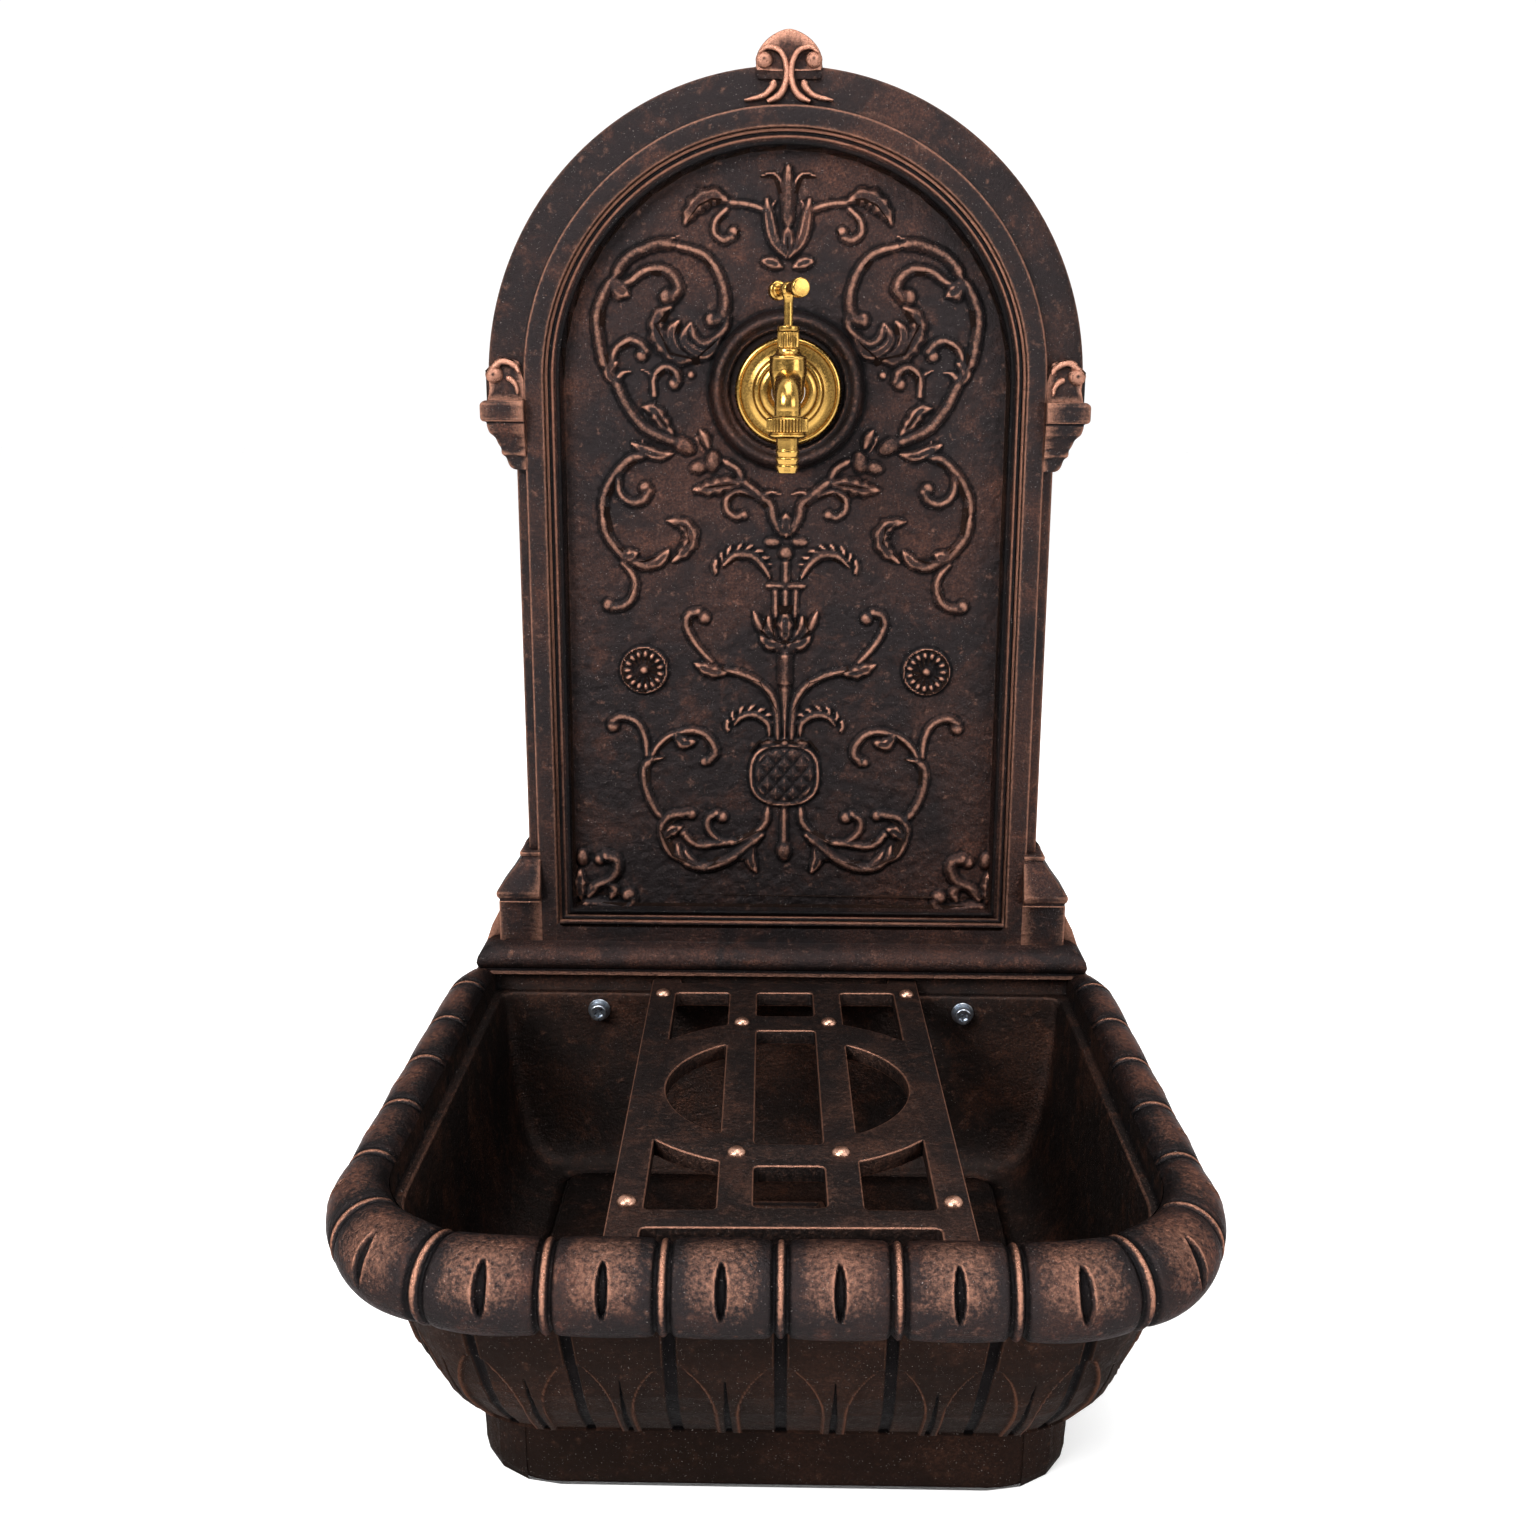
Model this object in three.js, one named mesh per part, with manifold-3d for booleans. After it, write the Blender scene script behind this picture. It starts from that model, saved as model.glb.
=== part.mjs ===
// A cast wall fountain: arched back plate in relief, fluted basin on its own foot, lift-out grate and
// garden tap.
// Millimetres, +Z up. The pieces are modelled in the plate's frame: x to the right, y into the wall with
// 0 on the plate's field, z up with 0 at the centre of the arch. The group at the end moves them to the
// part's own frame, whose origin is the middle of the footprint, on the ground.

import * as THREE from 'three';
import { mergeVertices } from 'three/addons/utils/BufferGeometryUtils.js';
import Module from 'manifold-3d';

const wasm = await Module();
wasm.setup();

// Overall sizes
const ARCH_RADIUS = 175;
const FOOT_TO_ARCH_CENTRE = 540;
const FIELD_TO_WALL = 16;
const RIM_FRONT_REACH = 341;
const FIT_GAP = 0.3;

// Back plate
const PLATE_WALL = 5;
const SHAFT_SETBACK = 15.5;
const BORDER_SETBACK = 22;
const BORDER_WIDTH = 11.5;
const MOULD_WIDTH = 8.5;
const CREST_SLOPE = 3;
const SHAFT_HALF_WIDTH = ARCH_RADIUS - SHAFT_SETBACK;
const BORDER_HALF_WIDTH = ARCH_RADIUS - BORDER_SETBACK;
const BORDER_INNER = BORDER_HALF_WIDTH - BORDER_WIDTH;
const CREST_HALF_WIDTH = BORDER_INNER - MOULD_WIDTH;
const FIELD_HALF_WIDTH = CREST_HALF_WIDTH - CREST_SLOPE;
const BAND_HEIGHT = 8;
const BORDER_HEIGHT = 3;
const FIELD_BOTTOM = -321.5;
const RIM_TOP = -362.5;
const PLATE_BOTTOM = RIM_TOP + FIT_GAP;
const ARCH_STEPS = 20;
const ORNAMENT_X = 1.3;

// Imposts, finial and plinth
const IMPOST_TOP = -10;
const IMPOST_HEIGHT = 11;
const IMPOST_HALF_WIDTH = ARCH_RADIUS + 1;
const IMPOST_REACH = 14;
const FINIAL_RADIUS = 19.6;
const FINIAL_RISE = 18.7;
const BLOCK_HALF_WIDTH = 179;
const BLOCK_TOP = -315;
const BASE_MOULD_HEIGHT = 17.7;
const BASE_MOULD_REACH = 13;

// Tap boss on the plate
const BOSS_RADIUS = 45.5;
const BOSS_HEIGHT = 11;
const BOSS_Z = -3.3;
const BOSS_FLOOR_RADIUS = 34;
const BOSS_FLOOR_RISE = 2;
const ROSETTE_X = 86.5;
const ROSETTE_Z = -170.5;
const ROSETTE_RADIUS = 15;
const ROSETTE_PETALS = 15;

// Basin
const RIM_HALF_WIDTH = 181.5;
const RIM_CORNER_RADIUS = 68;
const ROLL_RADIUS = 19;
const ROLL_CENTRE_OUT = 16;
const ROLL_CENTRE_DROP = 11.1;
const ROLL_SIDE_SHARE = 0.64;
const ROLL_END_RUN = 45;
const BEAD_PITCH = 49.3;
const SIDE_BEAD_PITCH = 55.3;
const BEAD_PATTERN_X = 3.5;
const BEAD_HALF_WIDTH = 3;
const GADROON_SWELL = 1.4;
const BASIN_WALL = 6;
const BOWL_WALL = 9.5;
const BASIN_BACK = -13;
const LEDGE_DROP = 12.5;
const LEDGE_WIDTH = 6;
const LIP_LEAN = 0.6;
const BOWL_DEPTH = 125;
const FOOT_HEIGHT = 40;
const FOOT_HALF_WIDTH = 153;
const FOOT_FRONT = -270;
const FOOT_CORNER_RADIUS = 46;
const SLOT_WIDTH = 5;
const SLOT_DEPTH = 3.5;
const DRAIN_Y = -90;
const DRAIN_RADIUS = 20;
const DRAIN_COLLAR_RADIUS = 29;
const DRAIN_COLLAR_HEIGHT = 2;

// Tongue of the plate behind the basin, and the screws through both
const TONGUE_HALF_WIDTH = 140;
const TONGUE_WALL = 6;
const TONGUE_DEPTH = 46;
const SCREW_X = 115;
const SCREW_DROP = 23.5;
const SCREW_RADIUS = 3;
const SCREW_HEAD_RADIUS = 5.25;
const SCREW_HEAD_HEIGHT = 5.5;
const SCREW_LENGTH = 22;
const SCREW_SOCKET_RADIUS = 2.9;
const SCREW_SOCKET_DEPTH = 3;
const WASHER_RADIUS = 7;
const WASHER_THICKNESS = 1.4;
const SCREW_CLEARANCE = 0.3;

// Grate
const GRATE_HALF_WIDTH = 83;
const GRATE_BAR = 16;
const GRATE_THICKNESS = 9;
const GRATE_TURN_DEG = 1;
const GRATE_X = 5;
const GRATE_CENTRE_WINDOW = 17;
const GRATE_SIDE_WINDOW_FROM = 34;
const GRATE_RING_INNER = 65;
const GRATE_RING_OUTER = 91;
const STUD_RADIUS = 4.6;

// Places along the grate, counted from its back edge
const TOP_WINDOW_FROM = 24;
const TOP_WINDOW_TO = 61;
const LONG_WINDOW_FROM = 83;
const LONG_WINDOW_TO = 225;
const LOW_WINDOW_FROM = 248;
const END_NOTCH = 8;
const FRONT_NOTCH = 18;
const STUD_U = 25.5;
const STUD_ROWS = [72, 235];

// Tap
const TAP_X = 2.2;
const TAP_Z = -4;
const BARREL_Y = -48;
const NOSE_Y = -75;
const TAP_BORE = 4.5;
const FLANGE_RADIUS = 31.4;
const FLANGE_DEPTH = 15;
const INLET_RADIUS = 9.5;
const INLET_CLEARANCE = 0.7;
const BARREL_RADIUS = 10.5;
const BARREL_TOP = 19.3;
const BARREL_BOTTOM = -12;
const NOSE_RADIUS = 7.2;
const NOSE_BOTTOM = -13;
const BONNET_RADIUS = 6.1;
const BONNET_HEIGHT = 13;
const GLAND_RADIUS = 6.2;
const GLAND_HEIGHT = 3;
const SPINDLE_RADIUS = 2.6;
const SPINDLE_RISE = 19.5;
const SPINDLE_CLEARANCE = 0.35;
const BAR_RADIUS = 3;
const BAR_HALF_LENGTH = 16;
const BAR_TURN_DEG = 23;
const KNOB_RADIUS = 5.4;
const KNOB_LENGTH = 5;
const NUT_RADIUS = 11.45;
const NUT_HEIGHT = 11.5;
const TAIL_RADIUS = 6.6;
const TAIL_LENGTH = 18.5;
const TAIL_BORE = 4;

const GROUND = -FOOT_TO_ARCH_CENTRE;
const bronze = new THREE.MeshStandardMaterial({ color: 0x3a2c28, metalness: 0.8, roughness: 0.45 });
const brass = new THREE.MeshStandardMaterial({ color: 0xc9a24b, metalness: 1, roughness: 0.25 });
const zinc = new THREE.MeshStandardMaterial({ color: 0x9aa6b0, metalness: 1, roughness: 0.35 });

// A solid from points and triangles; a skin that is inside out is turned round
const solidFrom = (points, triangles) => {
  let volume = 0;
  for (const [a, b, c] of triangles) {
    const [p, q, r] = [points[a], points[b], points[c]];
    volume += p[0] * (q[1] * r[2] - q[2] * r[1]) + p[1] * (q[2] * r[0] - q[0] * r[2]);
    volume += p[2] * (q[0] * r[1] - q[1] * r[0]);
  }
  const ordered = volume > 0 ? triangles : triangles.map(([a, b, c]) => [a, c, b]);
  return new wasm.Manifold(new wasm.Mesh({
    numProp: 3,
    vertProperties: new Float32Array(points.flat()),
    triVerts: new Uint32Array(ordered.flat()),
  }));
};

const inThrees = (list) =>
  Array.from({ length: list.length / 3 }, (_, i) => [...list.slice(3 * i, 3 * i + 3)]);

const solidOf = (geometry) => {
  const source = geometry.index ? geometry.toNonIndexed() : geometry.clone();
  source.deleteAttribute('normal');
  source.deleteAttribute('uv');
  const merged = mergeVertices(source, 1e-4);
  const faces = inThrees(merged.index.array).filter(([a, b, c]) => a !== b && b !== c && c !== a);
  return solidFrom(inThrees(merged.attributes.position.array), faces);
};

const meshOf = (name, solid, material) => {
  const result = solid.getMesh();
  const geometry = new THREE.BufferGeometry();
  geometry.setAttribute('position', new THREE.BufferAttribute(new Float32Array(result.vertProperties), 3));
  geometry.setIndex(new THREE.BufferAttribute(new Uint32Array(result.triVerts), 1));
  geometry.computeVertexNormals();
  const mesh = new THREE.Mesh(geometry, material);
  mesh.name = name;
  return mesh;
};

const unite = (solids) => solids.reduce((sum, next) => sum.add(next));

// A closed solid through rings of equally many points; the end rings are capped in the plane given by cap.
const loft = (rings, cap) => {
  const count = rings[0].length;
  const points = rings.flat();
  const triangles = [];
  for (let r = 0; r + 1 < rings.length; r += 1) {
    for (let i = 0; i < count; i += 1) {
      const j = (i + 1) % count;
      const [a, b] = [r * count + i, r * count + j];
      triangles.push([a, b, b + count], [a, b + count, a + count]);
    }
  }
  const flat = (ring) => ring.map((p) => new THREE.Vector2(p[cap[0]], p[cap[1]]));
  const ends = [[rings[0], 0, true], [rings[rings.length - 1], (rings.length - 1) * count, false]];
  for (const [ring, offset, first] of ends) {
    const outline = flat(ring);
    const clockwise = THREE.ShapeUtils.isClockWise(outline);
    for (const face of THREE.ShapeUtils.triangulateShape(outline, [])) {
      const [a, b, c] = face.map((k) => k + offset);
      const [u, v, w] = face.map((k) => outline[k]);
      const turn = (v.x - u.x) * (w.y - u.y) - (v.y - u.y) * (w.x - u.x);
      const along = (turn > 0) !== clockwise;
      triangles.push(along === first ? [a, c, b] : [a, b, c]);
    }
  }
  return solidFrom(points, triangles);
};

const box = (low, high) => {
  const [x, y, z] = [0, 1, 2].map((k) => high[k] - low[k]);
  const geometry = new THREE.BoxGeometry(x, y, z);
  geometry.translate(low[0] + x / 2, low[1] + y / 2, low[2] + z / 2);
  return solidOf(geometry);
};

// A turned piece: profile points are [radius, along]; the axis runs up, or out of the wall.
const turned = (profile, sides, [x, y, z], axis = 'up') => {
  const geometry = new THREE.LatheGeometry(profile.map(([r, h]) => new THREE.Vector2(r, h)), sides);
  if (axis === 'up') geometry.rotateX(Math.PI / 2);
  if (axis === 'out') geometry.scale(1, -1, 1);
  geometry.translate(x, y, z);
  return solidOf(geometry);
};

const disc = (radius, from, to, sides, centre, axis) =>
  turned([[0, from], [radius, from], [radius, to], [0, to]], sides, centre, axis);

// A flat outline in x and z, extruded from one y to another
const slab = (outline, yFront, yBack) => {
  const shape = new THREE.Shape(outline.map(([x, z]) => new THREE.Vector2(x, z)));
  const geometry = new THREE.ExtrudeGeometry(shape, { depth: yBack - yFront, bevelEnabled: false });
  geometry.rotateX(Math.PI / 2);
  geometry.translate(0, yBack, 0);
  return solidOf(geometry);
};

const mirrored = (solid) => solid.mirror([1, 0, 0]);
const mirroredAbout = (solid, x) => mirrored(solid.translate([-x, 0, 0])).translate([x, 0, 0]);

// Back plate

const archRing = (half, bottom, y) => {
  const ring = [];
  for (let i = 0; i <= ARCH_STEPS; i += 1) {
    const angle = (Math.PI * i) / ARCH_STEPS;
    ring.push([half * Math.cos(angle), y, half * Math.sin(angle)]);
  }
  ring.push([-half, y, bottom], [half, y, bottom]);
  return ring;
};

const fieldFloor = (half) => FIELD_BOTTOM - (half - FIELD_HALF_WIDTH);

const plateShell = () => {
  const outer = loft([
    archRing(ARCH_RADIUS, PLATE_BOTTOM, FIELD_TO_WALL),
    archRing(ARCH_RADIUS, PLATE_BOTTOM, 0),
    archRing(ARCH_RADIUS - 2, PLATE_BOTTOM, -1.5),
    archRing(BORDER_HALF_WIDTH + 1, PLATE_BOTTOM, -BORDER_HEIGHT),
    archRing(BORDER_HALF_WIDTH, PLATE_BOTTOM, -BAND_HEIGHT),
    archRing(BORDER_INNER, fieldFloor(BORDER_INNER), -BAND_HEIGHT),
    archRing(BORDER_INNER - 2.5, fieldFloor(BORDER_INNER - 2.5), -4.5),
    archRing(CREST_HALF_WIDTH, fieldFloor(CREST_HALF_WIDTH), -BAND_HEIGHT - 0.5),
    archRing(CREST_HALF_WIDTH - 1.5, fieldFloor(CREST_HALF_WIDTH - 1.5), -BAND_HEIGHT),
    archRing(FIELD_HALF_WIDTH, FIELD_BOTTOM, 0),
  ], [0, 2]);
  const inner = loft([
    archRing(ARCH_RADIUS - PLATE_WALL, PLATE_BOTTOM + PLATE_WALL, FIELD_TO_WALL + 1),
    archRing(ARCH_RADIUS - PLATE_WALL, PLATE_BOTTOM + PLATE_WALL, PLATE_WALL - 1.5),
    archRing(BORDER_HALF_WIDTH - PLATE_WALL, PLATE_BOTTOM + 2 * PLATE_WALL, PLATE_WALL - BAND_HEIGHT),
    archRing(FIELD_HALF_WIDTH + 8, fieldFloor(FIELD_HALF_WIDTH + 8), PLATE_WALL - BAND_HEIGHT + 1),
    archRing(FIELD_HALF_WIDTH, FIELD_BOTTOM, PLATE_WALL),
  ], [0, 2]);
  const shaftCut = (half, top) => {
    const [front, back] = [-BAND_HEIGHT - 30, FIELD_TO_WALL + 30];
    return unite([
      box([-half, front, PLATE_BOTTOM - 1], [half, back, top]),
      box([-ARCH_RADIUS - 9, front, top - 0.5], [ARCH_RADIUS + 9, back, ARCH_RADIUS + 9]),
    ]);
  };
  const body = outer.intersect(shaftCut(SHAFT_HALF_WIDTH, IMPOST_TOP));
  return [body, inner.intersect(shaftCut(SHAFT_HALF_WIDTH - PLATE_WALL, IMPOST_TOP + PLATE_WALL))];
};

const impost = () => {
  const under = IMPOST_TOP - IMPOST_HEIGHT;
  const steps = [
    [IMPOST_HALF_WIDTH, IMPOST_REACH, IMPOST_TOP, under],
    [IMPOST_HALF_WIDTH - 3, IMPOST_REACH - 2, under, under - 4],
    [IMPOST_HALF_WIDTH - 8, IMPOST_REACH - 4, under - 4, under - 10],
    [IMPOST_HALF_WIDTH - 11, IMPOST_REACH - 6, under - 10, under - 19],
    [IMPOST_HALF_WIDTH - 15, IMPOST_REACH - 8, under - 19, under - 28],
  ];
  const parts = steps.map(([half, reach, top, bottom]) =>
    box([-half, -reach, bottom - 0.2], [-BORDER_HALF_WIDTH + 1, FIELD_TO_WALL, top]));
  const edge = -ARCH_RADIUS;
  const inner = -BORDER_HALF_WIDTH;
  const shoulder = slab([[edge - 0.5, IMPOST_TOP - 0.5], [edge + 1.5, -4], [edge, 4], [edge + 3, 10],
    [edge + 9, 14], [inner - 3, 12], [inner, 2], [inner, IMPOST_TOP - 0.5]], -8.5, FIELD_TO_WALL);
  const volute = rib([[inner + 1, -4], [inner - 1.5, 6], [(edge + inner) / 2 + 4, 11.5], [edge + 8, 12],
    [edge + 3.5, 6.5]], 5, 3.5, 6, -8);
  return unite([...parts, shoulder, volute, ball([edge + 4, 6], 4.4, 3, -8)]);
};

const plinth = () => {
  const blockFace = -BAND_HEIGHT;
  const mouldTop = PLATE_BOTTOM + BASE_MOULD_HEIGHT;
  const block = box([-BLOCK_HALF_WIDTH, blockFace, mouldTop - 1],
    [BLOCK_HALF_WIDTH, FIELD_TO_WALL, BLOCK_TOP]);
  const inner = -BORDER_HALF_WIDTH + 1;
  const capRing = (x0, x1, reach, z) =>
    [[x0, FIELD_TO_WALL, z], [x0, -reach, z], [x1, -reach, z], [x1, FIELD_TO_WALL, z]];
  const cap = loft([
    capRing(-BLOCK_HALF_WIDTH + 0.5, inner, 14, BLOCK_TOP - 0.5),
    capRing(-BLOCK_HALF_WIDTH, inner + 0.5, 15.5, BLOCK_TOP + 3),
    capRing(-BLOCK_HALF_WIDTH + 1.5, inner, 14, BLOCK_TOP + 6),
    capRing(-SHAFT_HALF_WIDTH - 5.5, inner, 9.5, BLOCK_TOP + 25),
    capRing(-SHAFT_HALF_WIDTH - 6, inner + 0.5, 11, BLOCK_TOP + 28),
    capRing(-SHAFT_HALF_WIDTH - 4.5, inner, 9.5, BLOCK_TOP + 30.5),
    capRing(-SHAFT_HALF_WIDTH, inner, 8.5, BLOCK_TOP + 36),
  ], [0, 1]);
  const mouldRing = (out, z) => [
    [-BLOCK_HALF_WIDTH - out, FIELD_TO_WALL, z], [-BLOCK_HALF_WIDTH - out, blockFace - out, z],
    [BLOCK_HALF_WIDTH + out, blockFace - out, z], [BLOCK_HALF_WIDTH + out, FIELD_TO_WALL, z]];
  const reach = BASE_MOULD_REACH;
  const mould = loft([
    mouldRing(0, mouldTop), mouldRing(reach * 0.55, mouldTop - 2), mouldRing(reach * 0.9, mouldTop - 6.5),
    mouldRing(reach, mouldTop - 11), mouldRing(reach * 0.85, mouldTop - 14.5),
    mouldRing(reach, mouldTop - 15), mouldRing(reach, PLATE_BOTTOM),
  ], [0, 1]);
  const shoulder = slab([[-BLOCK_HALF_WIDTH + 2, BLOCK_TOP - 9], [-BLOCK_HALF_WIDTH - reach, mouldTop - 8],
    [-BLOCK_HALF_WIDTH + 2, mouldTop - 8]], 4, FIELD_TO_WALL);
  const hollow = box([-BLOCK_HALF_WIDTH + PLATE_WALL, blockFace + PLATE_WALL, PLATE_BOTTOM + PLATE_WALL],
    [BLOCK_HALF_WIDTH - PLATE_WALL, FIELD_TO_WALL + 1, BLOCK_TOP - PLATE_WALL]);
  return [unite([block, mould, cap, mirrored(cap), shoulder, mirrored(shoulder)]), hollow];
};

const finial = () => {
  const lobe = [];
  const top = ARCH_RADIUS + FINIAL_RISE;
  for (let i = 0; i <= 10; i += 1) {
    const angle = (Math.PI * i) / 10;
    lobe.push([FINIAL_RADIUS * Math.cos(angle), top - FINIAL_RADIUS * (1 - Math.sin(angle))]);
  }
  lobe.push([-FINIAL_RADIUS + 2, ARCH_RADIUS - 8], [FINIAL_RADIUS - 2, ARCH_RADIUS - 8]);
  const line = (points) => points.map(([x, rise]) => [x, ARCH_RADIUS + rise]);
  const scroll = rib(line([[-17, 6], [-10, 8], [-4, 4], [-1.2, -5], [-5, -15], [-13, -20]]), 5, 4, 7, -4);
  const leaf = rib(line([[-8, -11], [-13, -15], [-25, -19]]), 5.5, 4.5, 4, -2);
  const half = unite([scroll, leaf, ball([-14.5, ARCH_RADIUS + 3], 4.6, 3.5, -4)]);
  return unite([slab(lobe, -4.5, FIELD_TO_WALL), half, mirrored(half)]).translate([ORNAMENT_X, 0, 0]);
};

// A ridge through three-cornered rings, whose plane turns with the line; one triangle closes each end
const ridge = (rings) => {
  const points = rings.flat();
  const last = (rings.length - 1) * 3;
  const triangles = [[0, 2, 1], [last, last + 1, last + 2]];
  for (let r = 0; r + 1 < rings.length; r += 1) {
    for (let i = 0; i < 3; i += 1) {
      const [a, b] = [r * 3 + i, r * 3 + ((i + 1) % 3)];
      triangles.push([a, b, b + 3], [a, b + 3, a + 3]);
    }
  }
  return solidFrom(points, triangles);
};

// Relief: a rib is a tapering ridge along a smooth line on the field, lifted to a crest
const taper = (t) => Math.max(0.3, Math.min(1, 5 * t + 0.3, 3 * (1 - t) + 0.4));

const rib = (through, width, height = width * 0.55, steps = 7, ground = 0) => {
  const curve = new THREE.CatmullRomCurve3(through.map(([x, z]) => new THREE.Vector3(x, 0, z)), false,
    'centripetal');
  const rings = [];
  for (let i = 0; i <= steps; i += 1) {
    const t = i / steps;
    const [p, way] = [curve.getPoint(t), curve.getTangent(t)];
    const half = (width / 2) * taper(t);
    rings.push([
      [p.x - way.z * half, ground, p.z + way.x * half],
      [p.x + way.z * half, ground, p.z - way.x * half],
      [p.x, ground - height * (0.35 + 0.65 * taper(t)), p.z],
    ]);
  }
  return ridge(rings);
};

// A ball or bud: a faceted dome on the field
const ball = ([x, z], radius, height = radius, ground = 0, stretch = 1, turnDeg = 0) => {
  const profile = [[0, 0], [radius, 0], [radius * 0.75, height * 0.75], [0, height]];
  return turned(profile, 5, [0, 0, 0], 'out').scale([stretch, 1, 1]).rotate([0, -turnDeg, 0])
    .translate([x, ground, z]);
};

// The left half of the ornament, each line of a motif as [width, [points the line runs through]]
const LEFT_SPRAYS = [
  // palmette over the tap
  [4, [[0.5, 92], [-1.5, 105], [-6, 116], [-15, 115.5]]],
  [5, [[1, 72], [-7, 82], [-10, 98]]],
  [3.6, [[-9, 96], [-22, 100.5], [-36, 102]]],
  [8, [[-34, 103], [-46, 103], [-57, 91]]],
  [3.6, [[-33, 98], [-41, 88], [-36, 81], [-29, 84]]],
  // great scroll beside the tap
  [5.5, [[-63, -34], [-86, -22], [-101, 3], [-109, 25], [-107, 48], [-94, 68], [-78, 77.5], [-64, 78.5]]],
  [5.5, [[-66, 78], [-49, 74], [-37, 60], [-36, 43], [-42, 36]]],
  [8, [[-67, 43], [-75, 34], [-67, 18], [-52, 15], [-38, 27]]],
  [6, [[-62, 35], [-65, 25], [-56, 17]]],
  [5.5, [[-97, 55], [-82, 63.5], [-68, 64], [-62, 54], [-68, 48]]],
  [5, [[-102, 8], [-99, 20], [-89, 25], [-82, 18]]],
  [7, [[-66, -29], [-73, -20], [-79, -11]]],
  [5, [[-77, -8], [-76, 5], [-69, 10], [-63, 2]]],
  // knot of fruit and lower scroll
  [5.5, [[-66, -40], [-78, -41], [-91, -35]]],
  [5.5, [[-82, -41], [-98, -49], [-108, -68], [-105, -91], [-90, -105], [-70, -99]]],
  [7, [[-68, -103], [-57, -92], [-59, -83], [-69, -79.5]]],
  [5, [[-99, -51], [-98, -64], [-88, -69], [-81, -62]]],
  [5.5, [[-95, -103], [-90, -118], [-96, -131], [-109, -129]]],
  [7.5, [[-53, -61], [-38, -58], [-24, -57.5]]],
  [5.5, [[-25, -56], [-12, -66], [-2, -84]]],
  [4.5, [[-12, -68], [-28, -62], [-35, -70], [-26, -77]]],
  // frond, candelabrum branches and vase leaves
  [5, [[-7, -114], [-14, -103], [-25, -99.5], [-37, -107]]],
  [5.5, [[-3, -214], [-4, -195], [-14, -178], [-38, -170], [-53, -166]]],
  [5, [[-45, -165], [-58, -149], [-57, -136], [-48, -138]]],
  [5, [[-7, -212], [-12, -200], [-22, -198], [-30, -204]]],
  // foot scrolls
  [5, [[-8, -257], [-12, -271], [-28, -280], [-50, -283], [-61, -275]]],
  [6.5, [[-13, -275], [-30, -290], [-50, -297], [-69, -289], [-76, -273], [-60, -261]]],
  [5, [[-75, -266], [-85, -248], [-84, -230], [-73, -226]]],
  [5, [[-84, -223], [-87, -207], [-97, -200], [-107, -205]]],
  [5, [[-80, -224], [-68, -211], [-50, -210], [-42, -221], [-49, -228]]],
  // corner sprays
  [5, [[-122, -316], [-106, -303], [-105, -292], [-114, -291]]],
  [4.5, [[-126, -323], [-114, -322], [-100, -325], [-95, -318]]],
];

const LEFT_BUDS = [
  // [place, radius, stretch, turn]
  [[-29, 85.5], 3], [[-43, 36], 3.4], [[-69, 49], 3.8], [[-84, 16], 3.2], [[-65, 0], 3.2],
  [[-59.5, -35.5], 4.6, 1.4, -30], [[-51, -48], 3.8, 1.4, 10], [[-42.5, -44.5], 4.2, 1.4, 80],
  [[-83, -59.5], 3.2], [[-7, -92], 2.8, 1.7], [[-48, -139], 3.2], [[-105, -206], 3.2],
  [[-8, 68], 3, 1.9, 15], [[-126, -291], 3.8, 1.2, 90], [[-97, -315], 4],
];

// Straight strokes on the ornament's middle line, as [width, top, bottom], and drops as [height, radius]
const CENTRE_STROKES = [
  [6, 121, 88],
  [7, 88, 72],
  [6, -72, -90],
  [4, -100, -118],
  [18, -116, -137],
  [8, -134, -153],
  [6.5, -155, -214],
  [3, -257, -278],
];
const CENTRE_DROPS = [[-99, 4], [-288, 4.6]];

const lotus = () => {
  const petal = rib([[-10, -136], [-13, -145], [-4, -153]], 7, 4.5, 4);
  const inner = rib([[-5, -138], [-6, -147], [-1, -154]], 5, 5, 3);
  const bowl = ball([ORNAMENT_X, -151], 4, 4, 0, 3.4);
  return unite([petal, inner, mirroredAbout(petal, ORNAMENT_X), mirroredAbout(inner, ORNAMENT_X), bowl]);
};

// The vase's half outline and its beads, as [out from the middle, up from the middle]
const VASE_MIDDLE = -236;
const VASE_OUTLINE = [[15.3, 21], [21.3, 14], [22.8, 1], [21.3, -10], [16.3, -17], [9.3, -21]];
const VASE_BEADS = [[-10.3, 20], [0, 20], [10.3, 20], [-7.3, -18], [0, -20], [7.3, -18]];

const vase = () => {
  const outline = [...VASE_OUTLINE.map(([x, z]) => [-x, z]), ...[...VASE_OUTLINE].reverse()];
  const ring = (grow, y) => outline.map(([x, z]) => [ORNAMENT_X + x * grow, y, VASE_MIDDLE + z * grow]);
  const belly = loft([ring(1.04, 0), ring(1, -3), ring(0.8, -5.5)], [0, 2]);
  const diamonds = [];
  const [pitchX, pitchZ] = [10.5, 6.2];
  for (let row = -2; row <= 2; row += 1) {
    for (let col = -1; col <= 1; col += 1) {
      const x = ORNAMENT_X + pitchX * (col + (row % 2 ? 0.5 : 0));
      if (Math.abs(x - ORNAMENT_X) > 13) continue;
      diamonds.push(stud([x, VASE_MIDDLE + row * pitchZ], 4.6, 5.5, 1.4, 4));
    }
  }
  const beads = VASE_BEADS.map(([x, z]) => ball([ORNAMENT_X + x, VASE_MIDDLE + z], 3.4, 5, 0, 1.3));
  return unite([belly, ...diamonds, ...beads]);
};

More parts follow.
